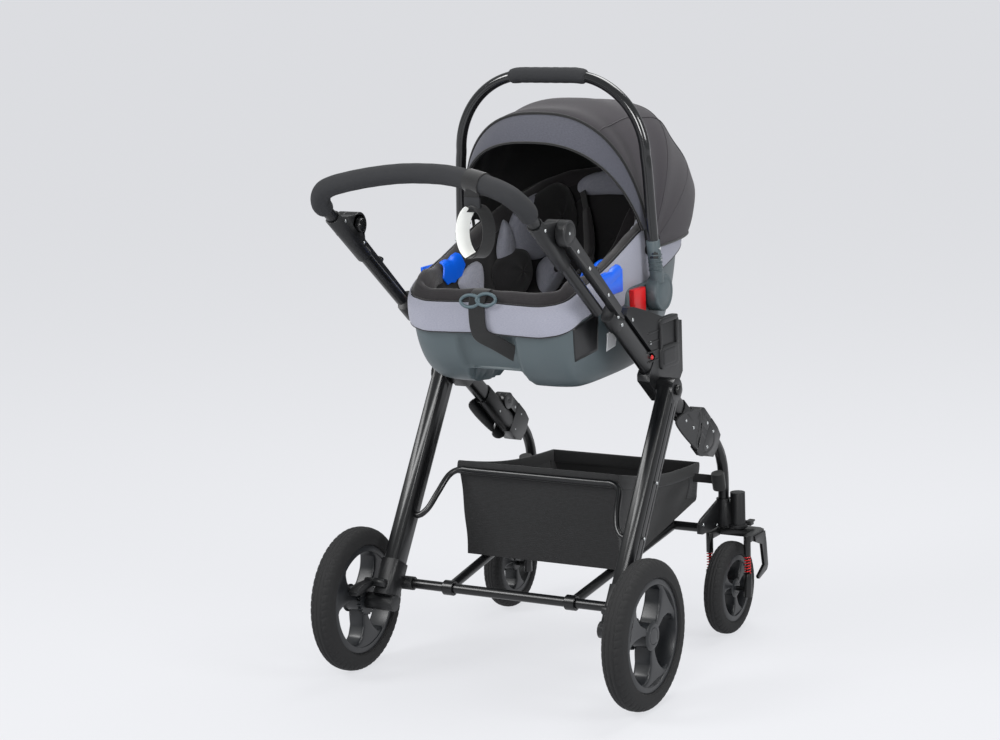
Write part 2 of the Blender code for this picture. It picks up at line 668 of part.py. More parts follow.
def build_rear_legs(root):
    length = (Vector(LEG_PIVOT) - Vector((0, REAR_AXLE_Z))).length
    leg = along_leg("rear_leg", LEG_END_ABOVE_AXLE, length, 0)
    inner = LEG_X - LEG_WIDTH / 2
    outer = LEG_X + LEG_WIDTH / 2
    fuse(leg, rod("cap", (inner, *LEG_PIVOT), (outer, *LEG_PIVOT), LEG_DEPTH / 2 - 0.0004, 18))
    for across in (-0.008, 0.008):
        groove = [leg_point(0, across - 0.0015), leg_point(0, across + 0.0015),
                  leg_point(length - 0.03, across + 0.0015), leg_point(length - 0.03, across - 0.0015)]
        cut(leg, plate("groove", groove, outer - 0.0015, outer + 0.01))
    cut(leg, rod("bore", (inner - 0.01, *LEG_PIVOT), (outer + 0.01, *LEG_PIVOT), LEG_PIN_RADIUS + FIT))
    place_pair(leg, (LEG_X, *LEG_PIVOT), root, BLACK_METAL, 0.38, 0.6)


def pedal_pivot():
    """The pedal turns beside the leg's foot, square to the pawl's way into the gear."""
    return -0.0131, REAR_AXLE_Z + 0.0422


def build_axle_housings(root):
    housing = along_leg("axle_housing", 0.010, COLLAR_TOP_ABOVE_AXLE, COLLAR_WALL)
    wheel_inner = REAR_TRACK_HALF - REAR_RIM_WIDTH / 2 - GEAR_WIDTH
    axle = (0, REAR_AXLE_Z)
    tip = REAR_TRACK_HALF + REAR_RIM_WIDTH / 2 - 0.0035
    barrel_end = wheel_inner - RUNNING_GAP
    fuse(housing, rod("barrel", (LEG_X - 0.025, *axle), (barrel_end, *axle), AXLE_BARREL_RADIUS, 14))
    fuse(housing, rod("axle", (wheel_inner - 0.01, *axle), (tip, *axle), REAR_AXLE_RADIUS, 12))
    cross = (CROSS_TUBE_Y, CROSS_TUBE_Z)
    fuse(housing, rod("boss", (LEG_X - 0.034, *cross), (LEG_X - 0.002, *cross), CROSS_TUBE_RADIUS + 0.004))
    pivot = pedal_pivot()
    fuse(housing, rod("lug", (LEG_X - 0.012, *pivot), (LEG_X + 0.012, *pivot), 0.0085))
    fuse(housing, rod("pedal_pin", (LEG_X + 0.01, *pivot), (LEG_X + 0.034, *pivot), PEDAL_PIN_RADIUS, 10))
    cut(housing, along_leg("socket", LEG_END_ABOVE_AXLE - FIT, COLLAR_TOP_ABOVE_AXLE + 0.02, FIT))
    cut(housing, rod("cross_socket", (LEG_X - 0.05, *cross), (LEG_X - 0.012, *cross), CROSS_TUBE_RADIUS + FIT))
    place_pair(housing, (LEG_X, *axle), root, BLACK_PLASTIC, 0.5)

    end = LEG_X - 0.012 - FIT
    cross_tube = rod("rear_cross_tube", (-end, *cross), (end, *cross), CROSS_TUBE_RADIUS)
    place(cross_tube, (0, *cross), root, BLACK_METAL, 0.38, 0.6)


def build_brake_pedals(root):
    y, z = pedal_pivot()
    low_x = LEG_X + 0.012 + RUNNING_GAP
    high_x = LEG_X + 0.032
    outline = arc((y, z), 0.0075, 30, 150, 6)
    outline += [(y - 0.040, z + 0.004), (y - 0.062, z - 0.006), (y - 0.062, z - 0.013), (y - 0.030, z - 0.010)]
    outline += arc((y, z), 0.0075, 235, 360, 6)
    pedal = plate("brake_pedal", outline, low_x, high_x)
    gap = math.radians(150)
    rest_radius = GEAR_RADIUS + 0.0025
    tip = (rest_radius * math.cos(gap), REAR_AXLE_Z + rest_radius * math.sin(gap))
    inward = Vector((-math.cos(gap), -math.sin(gap)))
    square = Vector((-inward.y, inward.x))
    base = Vector(tip) - inward * 0.032
    pawl = []
    for point, half in ((Vector(tip), 0.0009), (base, 0.0035)):
        pawl.append((point + square * half, point - square * half))
    pawl_outline = [pawl[0][0], pawl[0][1], pawl[1][1], pawl[1][0]]
    gear_mid = REAR_TRACK_HALF - REAR_RIM_WIDTH / 2 - GEAR_WIDTH / 2
    fuse(pedal, plate("pawl", [tuple(point) for point in pawl_outline], high_x - 0.004, gear_mid + 0.003))
    bore_end = LEG_X + 0.034 + RUNNING_GAP
    cut(pedal, rod("bore", (low_x - 0.01, y, z), (bore_end, y, z), PEDAL_PIN_RADIUS + FIT, 10))
    place_pair(pedal, (low_x, y, z), root, BLACK_PLASTIC, 0.5)


def build_floor_frame(root):
    cross = (CROSS_TUBE_Y, CROSS_TUBE_Z)
    front = (FRONT_CROSS_Y, FRONT_CROSS_Z)
    frame = rod("floor_frame", (-FRONT_CROSS_HALF, *front), (FRONT_CROSS_HALF, *front), FRONT_CROSS_RADIUS, 12)
    for side in (-1, 1):
        start = (side * LINK_REAR_X, *cross)
        fuse(frame, rod("link", start, (side * LINK_FRONT_X, *front), LINK_RADIUS, 10))
        fuse(frame, rod("eye", (side * LINK_REAR_X - 0.011, *cross), (side * LINK_REAR_X + 0.011, *cross),
                        CROSS_TUBE_RADIUS + 0.005, 16))
    cut(frame, rod("bore", (-0.3, *cross), (0.3, *cross), CROSS_TUBE_RADIUS + FIT))
    place(frame, (0, *cross), root, BLACK_METAL, 0.38, 0.6)


def build_front_legs(root):
    half_width = LOWER_TUBE_WIDTH / 2 + FIT + SLEEVE_WALL
    inner_x = FRAME_X - half_width
    outer_x = FRAME_X + half_width
    split = FOLD_SPLIT + RUNNING_GAP
    top = FOLD_PIVOT_ABOVE + FOLD_DRUM_RADIUS
    block = [(split, -0.0205), (0.505, -0.0205), (0.524, -0.012), (0.531, 0.012), (0.527, 0.040),
             (0.505, top - 0.001), (split, top)]
    leg = frame_plate("front_leg", block, inner_x, outer_x)
    pivot = (FOLD_PIVOT_ALONG, FOLD_PIVOT_ABOVE)
    sleeve_top = LOWER_TUBE_HEIGHT / 2 + FIT + SLEEVE_WALL + RUNNING_GAP
    web_top = top - 0.0008
    web = [(pivot[0], sleeve_top), (split + 0.004, sleeve_top), (split + 0.004, web_top), (pivot[0], web_top)]
    lap_x = FRAME_X - FIT
    fuse(leg, frame_plate("web", web, inner_x + 0.0005, lap_x - 0.0005))
    drum = on_frame(*pivot)
    fuse(leg, rod("drum", (inner_x, *drum), (lap_x, *drum), FOLD_DRUM_RADIUS, 20))
    knuckle = FOLD_SPLIT - FOLD_PIVOT_ALONG + RUNNING_GAP / 2
    cut(leg, rod("relief", (FRAME_X, *drum), (outer_x + 0.01, *drum), knuckle, 20))
    cut(leg, rod("pin_bore", (inner_x - 0.01, *drum), (outer_x + 0.01, *drum), FOLD_PIN_RADIUS + FIT, 12))
    start = on_frame(0.500, 0.0277)
    knots = [(FRONT_LEG_X, *start), (FRONT_LEG_X, 0.505, 0.390), (FRONT_LEG_X, 0.528, 0.364),
             (FRONT_LEG_X, CASTER_Y - 0.003, 0.332), (FRONT_LEG_X, CASTER_Y + 0.001, 0.298),
             (FRONT_LEG_X, CASTER_Y, SOCKET_BOTTOM_Z + SOCKET_HEIGHT + 0.002)]
    path = smooth_path(knots, 2)
    path.append(Vector((FRONT_LEG_X, CASTER_Y, SOCKET_BOTTOM_Z + 0.005 + FIT)))
    fuse(leg, sweep("tube", path, circle(FRONT_LEG_RADIUS, 10), (1, 0, 0)))
    place_pair(leg, (FRAME_X, *drum), root, BLACK_METAL, 0.4, 0.5)


def build_caster_housings(root):
    low = SOCKET_BOTTOM_Z
    high = low + SOCKET_HEIGHT
    swivel_top = low + SWIVEL_HEIGHT
    block = rod("caster_housing", (FRONT_LEG_X, CASTER_Y, low), (FRONT_LEG_X, CASTER_Y, high), 0.0148, 16)
    fuse(block, rod("swivel", (CASTER_X, CASTER_Y, low + 0.004), (CASTER_X, CASTER_Y, swivel_top), SWIVEL_RADIUS, 18),
         rod("flange", (CASTER_X, CASTER_Y, low), (CASTER_X, CASTER_Y, low + 0.007), SWIVEL_RADIUS + 0.004, 18))
    bridge_low = (FRONT_LEG_X, CASTER_Y - 0.011, low + 0.001)
    fuse(block, box("bridge", bridge_low, (CASTER_X, CASTER_Y + 0.011, high - 0.007)))
    gusset_x = FRONT_CROSS_HALF + 0.001
    y = FRONT_CROSS_Y
    z = FRONT_CROSS_Z
    gusset = [(CASTER_Y + 0.006, low + 0.002), (CASTER_Y + 0.006, high - 0.002), (CASTER_Y - 0.014, high - 0.003),
              (y, z + 0.017), (y - 0.013, z + 0.010), (y - 0.013, z - 0.010), (y, z - 0.014)]
    fuse(block, plate("gusset", gusset, gusset_x, gusset_x + 0.006))
    ears = box("ears", (CASTER_X + 0.001, CASTER_Y + 0.012, low + 0.001),
               (CASTER_X + 0.022, CASTER_Y + 0.027, low + 0.010))
    cut(ears, box("ear_gap", (CASTER_X + 0.0042, CASTER_Y + 0.0195, low - 0.02),
                  (CASTER_X + 0.0188, CASTER_Y + 0.05, low + 0.05)))
    fuse(block, ears)
    cut(block, rod("leg_bore", (FRONT_LEG_X, CASTER_Y, low + 0.005), (FRONT_LEG_X, CASTER_Y, high + 0.05),
                   FRONT_LEG_RADIUS + FIT, 16))
    cut(block, rod("stem_bore", (CASTER_X, CASTER_Y, low - 0.01), (CASTER_X, CASTER_Y, low + STEM_LENGTH - 0.002),
                   STEM_RADIUS + RUNNING_GAP))
    place_pair(block, (CASTER_X, CASTER_Y, low), root, BLACK_PLASTIC, 0.5)

    tab_y = CASTER_Y + 0.0235
    tab_z = low + 0.0055
    tab = rod("swivel_lock", (CASTER_X + 0.0045, tab_y, tab_z), (CASTER_X + 0.0185, tab_y, tab_z), 0.0035)
    fuse(tab, box("tab", (CASTER_X + 0.0055, tab_y + 0.001, tab_z - 0.0022),
                  (CASTER_X + 0.0175, tab_y + 0.020, tab_z + 0.0016)))
    place_pair(tab, (CASTER_X + 0.0115, tab_y, tab_z), root, BLACK_PLASTIC, 0.5)


def build_casters(root):
    x = CASTER_X
    y = FRONT_AXLE_Y
    low = CROWN_BOTTOM_Z
    top = CROWN_TOP_Z
    reach = TOWER_OFFSET + TOWER_RADIUS
    inside = TOWER_OFFSET - TOWER_RADIUS
    rear = CASTER_Y - 0.012
    front = CASTER_Y + 0.025
    outline = [(x - reach, y), (x - reach, front - 0.008), (x - reach + 0.012, front), (x + reach - 0.012, front),
               (x + reach, front - 0.008), (x + reach, y), (x + inside, y), (x + inside, rear),
               (x - inside, rear), (x - inside, y)]
    yoke = slab("yoke", outline, low, top)
    tower_low = low - 0.028
    rod_tip = tower_low - SPRING_LENGTH - 0.0005 - SUSPENSION_TRAVEL + 0.001
    for side in (-1, 1):
        post = x + side * TOWER_OFFSET
        fuse(yoke, rod("tower", (post, y, tower_low), (post, y, top - 0.0005), TOWER_RADIUS - 0.0004),
             rod("guide", (post, y, rod_tip), (post, y, tower_low + 0.003), GUIDE_ROD_RADIUS, 8))
    blade_x = x + reach + 0.0005
    blade = [(y + 0.016, top - 0.004), (y + 0.066, top - 0.004), (y + 0.072, top - 0.030),
             (y + 0.078, 0.126), (y + 0.072, 0.117), (y + 0.034, 0.107), (y + 0.030, 0.113),
             (y + 0.060, 0.130), (y + 0.050, top - 0.028), (y + 0.020, top - 0.016)]
    fuse(yoke, plate("blade", blade, blade_x - 0.004, blade_x + 0.002))
    housing_low = SOCKET_BOTTOM_Z
    stem_top = housing_low + STEM_LENGTH - 0.004
    fuse(yoke, rod("neck", (x, CASTER_Y, top - 0.003), (x, CASTER_Y, housing_low - RUNNING_GAP), 0.010),
         rod("stem", (x, CASTER_Y, top - 0.002), (x, CASTER_Y, stem_top), STEM_RADIUS))
    place_pair(yoke, (x, CASTER_Y, top), root, BLACK_PLASTIC, 0.45)

    seat_z = tower_low - SPRING_LENGTH - 2 * FIT
    carrier_low = FRONT_AXLE_Z - 0.015
    carrier = rod("carrier", (x - TOWER_OFFSET, y, FRONT_AXLE_Z), (x + TOWER_OFFSET, y, FRONT_AXLE_Z),
                  FRONT_AXLE_RADIUS)
    for side in (-1, 1):
        post = x + side * TOWER_OFFSET
        fuse(carrier, rod("barrel", (post, y, carrier_low), (post, y, seat_z), CARRIER_RADIUS, 14))
        cut(carrier, rod("bore", (post, y, rod_tip - SUSPENSION_TRAVEL - 0.001), (post, y, seat_z + 0.01),
                         GUIDE_ROD_RADIUS + RUNNING_GAP, 8))
    place_pair(carrier, (x, y, FRONT_AXLE_Z), root, BLACK_PLASTIC, 0.45)

    build_springs(root, x + TOWER_OFFSET, y, seat_z + FIT, tower_low - FIT)


def build_springs(root, x, y, low, high):
    """Helix on the outer guide rod: angle a runs at a steady rate while z climbs from seat to seat."""
    points = []
    steps = SPRING_TURNS * SPRING_STEPS
    start = low + SPRING_WIRE_RADIUS
    rise = high - low - 2 * SPRING_WIRE_RADIUS
    for step in range(steps + 1):
        angle = 2 * math.pi * step / SPRING_STEPS
        points.append(Vector((x + SPRING_MEAN_RADIUS * math.cos(angle), y + SPRING_MEAN_RADIUS * math.sin(angle),
                              start + rise * step / steps)))
    pitch = rise / SPRING_TURNS
    print("spring: least gap between turns", round(1000 * (pitch - 2 * SPRING_WIRE_RADIUS), 2), "mm")
    spring = sweep("spring", points, circle(SPRING_WIRE_RADIUS, 5), (0, 0, 1))
    place_pair(spring, (x, y, high), root, RED, 0.35)


def build_basket(root):
    inner_leg = LEG_X - LEG_WIDTH / 2 - FIT
    side = BASKET_HALF_WIDTH
    knots = [(inner_leg, 0.098, 0.292), (0.220, 0.098, 0.292), (0.206, 0.108, 0.306), (0.196, 0.128, 0.332),
             (0.186, HOOP_Y - 0.012, HOOP_TOP_Z - 0.010), (side - 0.010, HOOP_Y, HOOP_TOP_Z),
             (side - 0.05, HOOP_Y, HOOP_TOP_Z)]
    knots += [(-point[0], point[1], point[2]) for point in reversed(knots)]
    hoop = sweep("basket_hoop", smooth_path(knots, 1), circle(HOOP_RADIUS, 8), (0, 0, 1))
    place(hoop, (0, HOOP_Y, HOOP_TOP_Z), root, BLACK_METAL, 0.38, 0.6)

    rear_y = HOOP_Y + HOOP_RADIUS + FIT
    bottom_rear = (0.010 + rear_y, 0.1975)
    bottom_front = (BASKET_FRONT_Y - 0.012, 0.250)
    top_rear = (rear_y, HOOP_TOP_Z + 0.003)
    top_front = (BASKET_FRONT_Y, 0.320)

    def tub(name, wall, lift):
        """Tapered tub between its slanted floor and its sloping rim, inset by the wall."""
        floor = []
        rim = []
        for share in (0.0, 0.5, 1.0):
            half = side - 0.009 * share - wall
            y = rear_y + wall + share * (BASKET_FRONT_Y - rear_y - 2 * wall)
            z = top_rear[1] + share * (top_front[1] - top_rear[1]) - 0.012 * math.sin(math.pi * share)
            rim.append((half, y, z + lift))
            y = bottom_rear[0] + wall + share * (bottom_front[0] - bottom_rear[0] - 2 * wall)
            z = bottom_rear[1] + share * (bottom_front[1] - bottom_rear[1])
            floor.append((half - 0.006, y, z + wall))
        rings = []
        for row in (floor, rim):
            rings.append(row + [(-point[0], point[1], point[2]) for point in reversed(row)])
        return loft(name, rings)

    basket = tub("basket", 0.0, 0.0)
    inner = tub("inner", BASKET_WALL, 0.03)
    cut(basket, inner)
    for hand in (-1, 1):
        low = (min(hand * 0.160, hand * 0.2084), BASKET_FRONT_Y - 0.022, 0.296)
        high = (max(hand * 0.160, hand * 0.2084), BASKET_FRONT_Y - 0.0195, 0.314)
        strap = box("strap", low, high)
        trim = tub("trim", 0.001, 0.03)
        cut(strap, trim)
        fuse(basket, strap)
    place(basket, (0, HOOP_Y, HOOP_TOP_Z), root, BLACK_CLOTH, 0.95)


LOOP_STEPS = 28
SHOULDER_STEPS = 2


def seat_half_loop():
    """Plan of the carrier's rim, front to head, right side: (x, y) knots in front and behind its widest run."""
    w = SEAT_HALF_WIDTH
    f = SEAT_FRONT_Y
    h = SEAT_HEAD_Y
    return [(0, f + 0.004), (0.075, f), (0.130, f + 0.001), (w - 0.016, f + 0.022), (w - 0.004, f + 0.065),
            (w, f + 0.140), (w, 0.270), (w - 0.003, 0.360), (w - 0.010, 0.440), (w - 0.030, 0.515),
            (w - 0.075, h - 0.035), (w - 0.135, h - 0.005)]


def rim_height(y):
    """Height of the carrier's rim over its length, rising from the foot end to the head end."""
    knots = [(-0.02, 0.732), (0.05, 0.762), (0.15, 0.790), (0.27, 0.832), (0.40, 0.868), (0.60, 0.918), (0.70, 0.94)]
    for (y0, z0), (y1, z1) in zip(knots, knots[1:]):
        if y <= y1:
            return z0 + (z1 - z0) * (y - y0) / (y1 - y0)
    return knots[-1][1]


def rim_loop():
    """Closed plan loop with outward normals, LOOP_STEPS points, starting at the foot end's middle."""
    right = seat_half_loop()
    knots = [(x, y, 0) for x, y in right] + [(0, SEAT_HEAD_Y, 0)]
    knots += [(-x, y, 0) for x, y in reversed(right[1:])]
    dense = smooth_path(knots, 16, closed=True)
    total = 0
    lengths = [0]
    for here, ahead in zip(dense, dense[1:] + dense[:1]):
        total += (ahead - here).length
        lengths.append(total)
    loop = []
    for step in range(LOOP_STEPS):
        goal = total * step / LOOP_STEPS
        spot = max(index for index, length in enumerate(lengths[:-1]) if length <= goal + 1e-9)
        span = lengths[spot + 1] - lengths[spot]
        ahead = dense[(spot + 1) % len(dense)]
        loop.append(dense[spot].lerp(ahead, (goal - lengths[spot]) / span))
    result = []
    for step, point in enumerate(loop):
        run = (loop[(step + 1) % LOOP_STEPS] - loop[step - 1]).normalized()
        result.append((point, Vector((run.y, -run.x, 0))))
    return result


def rim_ring(loop, inset, drop):
    """Ring that follows the rim, moved inward by the inset and down by the drop."""
    ring = []
    for point, normal in loop:
        spot = point - normal * inset
        ring.append(Vector((spot.x, spot.y, rim_height(point.y) - drop)))
    return ring


def bowl_ring(loop, inset, drop, bottom, share, floor_z):
    """Ring on a bowl wall: share 0 is its rim ring, share 1 its bottom loop at floor_z.

    The plan closes in as 1 - (1 - h^p)^(1/p) over the depth share h, a quarter superellipse.
    The bottom loop is (middle y, half width, half length).
    """
    power = 2.4
    closing = 1 - (1 - min(share, 1) ** power) ** (1 / power)
    ring = []
    for (point, normal), top in zip(loop, rim_ring(loop, inset, drop)):
        middle_y = (SEAT_FRONT_Y + SEAT_HEAD_Y) / 2
        half_length = (SEAT_HEAD_Y - SEAT_FRONT_Y) / 2
        floor = Vector((point.x / SEAT_HALF_WIDTH * (bottom[1] - inset),
                        bottom[0] + (point.y - middle_y) / half_length * (bottom[2] - inset), floor_z))
        spot = top.lerp(floor, closing)
        spot.z = top.z + (floor_z - top.z) * share
        ring.append(spot)
    return ring


def bowl(name, loop, inset, drop, bottom, floor_z, raise_rim=0.0):
    """Solid bowl; a raised rim makes it a cutter that clears the top."""
    shares = (0, 0.25, 0.48, 0.68, 0.84, 0.95, 1.0)
    rings = [bowl_ring(loop, inset, drop, bottom, share, floor_z) for share in shares]
    if raise_rim:
        rings.insert(0, [point + Vector((0, 0, raise_rim)) for point in rings[0]])
    else:
        rings.insert(0, rim_ring(loop, inset + 2 * SHELL_WALL, drop))
    return loft(name, rings)


SHELL_BOTTOM = (0.235, 0.142, 0.125)
LINER_BOTTOM = (0.285, 0.100, 0.115)


def build_seat_shell(root):
    loop = rim_loop()
    inset = BAND_THICKNESS + 0.0005
    shell = bowl("seat_shell", loop, inset, 0.006, SHELL_BOTTOM, SHELL_BOTTOM_Z)
    cut(shell, box("channel", (-CHANNEL_HALF_WIDTH, -0.2, 0.4), (CHANNEL_HALF_WIDTH, 0.8, CHANNEL_TOP_Z)))
    hub = (CARRY_HUB_Y, CARRY_HUB_Z)
    for hand in (-1, 1):
        blocks = [((0.120, 0.2052, 0.676), (0.1945, 0.3355, 0.738)),
                  ((0.120, CARRY_HUB_Y - 0.0295, TONGUE_BOTTOM_Z), (0.1945, CARRY_HUB_Y + 0.0325, 0.70)),
                  ((0.180, CARRY_HUB_Y - 0.0295, TONGUE_BOTTOM_Z), (TONGUE_REACH_X, CARRY_HUB_Y + 0.0325, 0.664))]
        for low, high in blocks:
            near = (min(hand * low[0], hand * high[0]), low[1], low[2])
            far = (max(hand * low[0], hand * high[0]), high[1], high[2])
            fuse(shell, box("block", near, far))
        fuse(shell, rod("hub_pin", (hand * 0.17, *hub), (hand * (CARRY_HUB_INNER_X + 0.012), *hub), 0.006))
        pocket = [(hand * 0.186, 0.2105, 0.6895), (hand * 0.25, 0.2585, 0.80)]
        near = (min(pocket[0][0], pocket[1][0]), pocket[0][1], pocket[0][2])
        far = (max(pocket[0][0], pocket[1][0]), pocket[1][1], pocket[1][2])
        cut(shell, box("pocket", near, far))
    inner = bowl("inner", loop, inset + SHELL_WALL, 0.006, SHELL_BOTTOM, SHELL_BOTTOM_Z + SHELL_WALL, 0.05)
    tunnel = CHANNEL_HALF_WIDTH + SHELL_WALL
    cut(inner, box("tunnel", (-tunnel, -0.2, 0.4), (tunnel, 0.8, CHANNEL_TOP_Z + SHELL_WALL)))
    cut(shell, inner)
    place(shell, (0, CARRY_HUB_Y, SHELL_BOTTOM_Z), root, SHELL_GREY, 0.45)


def band_drop(y):
    """Height of the side band: full at the foot end, cut up ahead of the carry handle's hubs."""
    if y < 0.12:
        return BAND_HEIGHT
    if y > 0.20:
        return BAND_HEIGHT - 0.021
    return BAND_HEIGHT - 0.021 * (y - 0.12) / 0.08


def band_ring(loop, inset, share):
    """Ring on the side band: share 0 at the rim's top, 1 at its lower hem."""
    ring = []
    for point, normal in loop:
        spot = point - normal * inset
        ring.append(Vector((spot.x, spot.y, rim_height(point.y) - band_drop(point.y) * share)))
    return ring


def build_seat_cover(root):
    """One sewn cover: band round the rim, padded lip and the liner down to the seat."""
    loop = rim_loop()
    shell_inset = BAND_THICKNESS + 0.0005
    rings = []
    floor_z = SHELL_BOTTOM_Z + SHELL_WALL
    for share, slack in ((1.0, 0.010), (0.70, 0.007), (0.36, 0.003)):
        ring = []
        for spot in loop:
            top_z = rim_height(spot[0].y) - 0.006
            depth = (top_z - LINER_UNDERSIDE_Z) / (top_z - floor_z)
            inset = shell_inset + SHELL_WALL + slack
            ring += bowl_ring([spot], inset, 0.006, SHELL_BOTTOM, depth * share, floor_z)
        rings.append(ring)
    rings.append(rim_ring(loop, shell_inset + SHELL_WALL + 0.0006, 0.010))
    rings.append(rim_ring(loop, shell_inset + SHELL_WALL + 0.0006, 0.0055))
    rings.append(rim_ring(loop, BAND_THICKNESS, 0.0055))
    rings.append(band_ring(loop, BAND_THICKNESS - 0.0005, 1.0))
    rings.append(band_ring(loop, 0.0015, 0.99))
    rings.append(band_ring(loop, -0.0004, 0.80))
    rings.append(band_ring(loop, 0.0005, 0.12))
    rings.append(rim_ring(loop, 0.0060, 0.0))
    rings.append(rim_ring(loop, 0.0160, -0.001))
    rings.append(rim_ring(loop, 0.0270, 0.004))
    for share in (0.25, 0.50, 0.75, 0.93, 1.0):
        rings.append(bowl_ring(loop, 0.034, 0.010, LINER_BOTTOM, share, LINER_SEAT_Z))
    cover = loft("seat_cover", rings)
    place(cover, (0, CARRY_HUB_Y, LINER_SEAT_Z), root, BAND_GREY, 0.95)


def build_belt_guides(root):
    x = SEAT_HALF_WIDTH + 0.0009
    guide = box("belt_guide", (x, 0.092, 0.738), (x + 0.006, 0.188, 0.781))
    cut(guide, box("slot", (x - 0.01, 0.118, 0.762), (x + 0.02, 0.162, 0.769)))
    cut(guide, box("corner", (x - 0.01, 0.05, 0.72), (x + 0.02, 0.110, 0.752)))
    place_pair(guide, (x, 0.140, 0.760), root, BLUE, 0.4)


def build_harness(root):
    """Webbing from under the foot end over the rim to the crotch buckle, and two shoulder straps."""
    loop = rim_loop()
    lift = 0.0045
    walls = []
    for share in (0.10, 0.30, 0.52, 0.74, 0.90, 1.0):
        walls.append(bowl_ring(loop, 0.034 + lift, 0.010 - lift, LINER_BOTTOM, share, LINER_SEAT_Z + lift))
    front = [ring[0] for ring in walls]
    top_z = rim_height(SEAT_FRONT_Y)
    y = SEAT_FRONT_Y
    path = [Vector((0, y - 0.0010, top_z - BAND_HEIGHT - 0.006)), Vector((0, y - 0.0022, top_z - 0.030)),
            Vector((0, y - 0.0022, top_z - 0.006)), Vector((0, y + 0.004, top_z + 0.0045)),
            Vector((0, y + 0.020, top_z + 0.0052)), Vector((0, y + 0.034, top_z + 0.0030))] + front
    buckle_y = front[-1].y + 0.045
    path.append(Vector((0, buckle_y + 0.02, LINER_SEAT_Z + lift)))
    section = oval(HARNESS_WIDTH, HARNESS_THICKNESS, 8, 4.0)
    harness = sweep("harness", path, section, (0, -1, 0))
    seat_z = LINER_SEAT_Z
    fuse(harness, box("buckle", (-0.026, buckle_y - 0.022, seat_z + 0.0025),
                      (0.026, buckle_y + 0.024, seat_z + 0.026)))
    for hand in (-1, 1):
        index = LOOP_STEPS // 2 + SHOULDER_STEPS * hand
        wall = [ring[index] for ring in walls]
        knots = [Vector((0.010 * math.copysign(1, wall[0].x), buckle_y + 0.012, seat_z + 0.016)),
                 Vector((wall[-1].x * 0.8, (buckle_y + wall[-1].y) / 2 + 0.02, seat_z + 0.020))]
        inward = Vector((0, -0.016, 0.010))
        for point in (wall[4], wall[3], wall[2], wall[1]):
            knots.append(point + inward)
        fuse(harness, sweep("shoulder", knots, oval(HARNESS_WIDTH, 0.008, 8, 4.0), (0, 0, 1)))
    place(harness, (0, buckle_y, seat_z), root, BLACK_CLOTH, 0.9)


def build_carry_handle(root):
    hub = (CARRY_HUB_Y, CARRY_HUB_Z)
    base_z = CARRY_HUB_Z + 0.080
    top_y = CARRY_HUB_Y - 0.030
    shoulder_z = CARRY_TOP_Z - CARRY_CORNER_RADIUS
    corner_x = CARRY_TOP_X - CARRY_CORNER_RADIUS
    right = [(CARRY_BASE_X, 0, base_z), (CARRY_TOP_X + 0.009, 0, (base_z + shoulder_z) / 2)]
    right += [(a, 0, b) for a, b in arc((corner_x, shoulder_z), CARRY_CORNER_RADIUS, 0, 90, 6)]
    path = []
    for x, _, z in right:
        share = (z - base_z) / (CARRY_TOP_Z - base_z)
        path.append(Vector((x, CARRY_HUB_Y - 0.0215 - 0.0085 * share, z)))
    path += [Vector((-point.x, point.y, point.z)) for point in reversed(path)]
    tube = sweep("carry_handle", path, circle(CARRY_TUBE_RADIUS, 10), (0, 1, 0))
    place(tube, (0, *hub), root, BLACK_METAL, 0.35, 0.6)

    span = CARRY_GRIP_HALF
    corner_drop = CARRY_CORNER_RADIUS - math.sqrt(CARRY_CORNER_RADIUS ** 2 - max(span - corner_x, 0) ** 2)
    ends = []
    for x in (-span, -corner_x, -0.02, 0.02, corner_x, span):
        drop = corner_drop if abs(x) == span else 0
        ends.append(Vector((x, top_y, CARRY_TOP_Z - drop)))
    grip = sweep("carry_grip", ends, circle(CARRY_GRIP_RADIUS, 12), (0, 1, 0))
    cut(grip, sweep("bore", path, circle(CARRY_TUBE_RADIUS + 0.0006, 10), (0, 1, 0)))
    place(grip, (0, top_y, CARRY_TOP_Z), root, FOAM, 0.9)

    outer = CARRY_HUB_INNER_X + CARRY_HUB_WIDTH
    casing = rod("handle_hub", (CARRY_HUB_INNER_X, *hub), (outer, *hub), CARRY_HUB_RADIUS, 24)
    lean = (path[1] - path[0]).normalized()
    sleeve_start = (CARRY_BASE_X + 0.0005, CARRY_HUB_Y - 0.012, CARRY_HUB_Z + 0.020)
    fuse(casing, rod("sleeve", sleeve_start, path[0] + lean * 0.022, CARRY_TUBE_RADIUS + 0.0035, 16))
    bore_end = path[0] + lean * 0.05
    cut(casing, rod("tube_bore", path[0] - lean * 0.0004, bore_end, CARRY_TUBE_RADIUS + 0.0006, 16))
    cut(casing, rod("pin_bore", (CARRY_HUB_INNER_X - 0.01, *hub), (CARRY_HUB_INNER_X + 0.0126, *hub), 0.0064))
    place_pair(casing, (CARRY_HUB_INNER_X, *hub), root, SHELL_GREY, 0.45)

    button = box("handle_button", (0.1905, 0.2110, 0.690), (0.2030, 0.2580, 0.737))
    place_pair(button, (0.1905, 0.2345, 0.7135), root, RED, 0.35)


HOOD_HOOPS = (  # lean back in degrees, height along the lean, half width, power
    (-28.0, 0.240, 0.1905, 2.5),
    (-15.4, 0.272, 0.1955, 2.5),
    (0.0, 0.276, 0.1950, 2.6),
    (20.0, 0.296, 0.1925, 2.8),
    (37.0, 0.325, 0.1925, 3.0),
    (55.0, 0.342, 0.1925, 3.0),
    (72.0, 0.352, 0.1925, 3.0),
    (88.0, 0.318, 0.1915, 3.0),
)
HOOD_START = 0.045


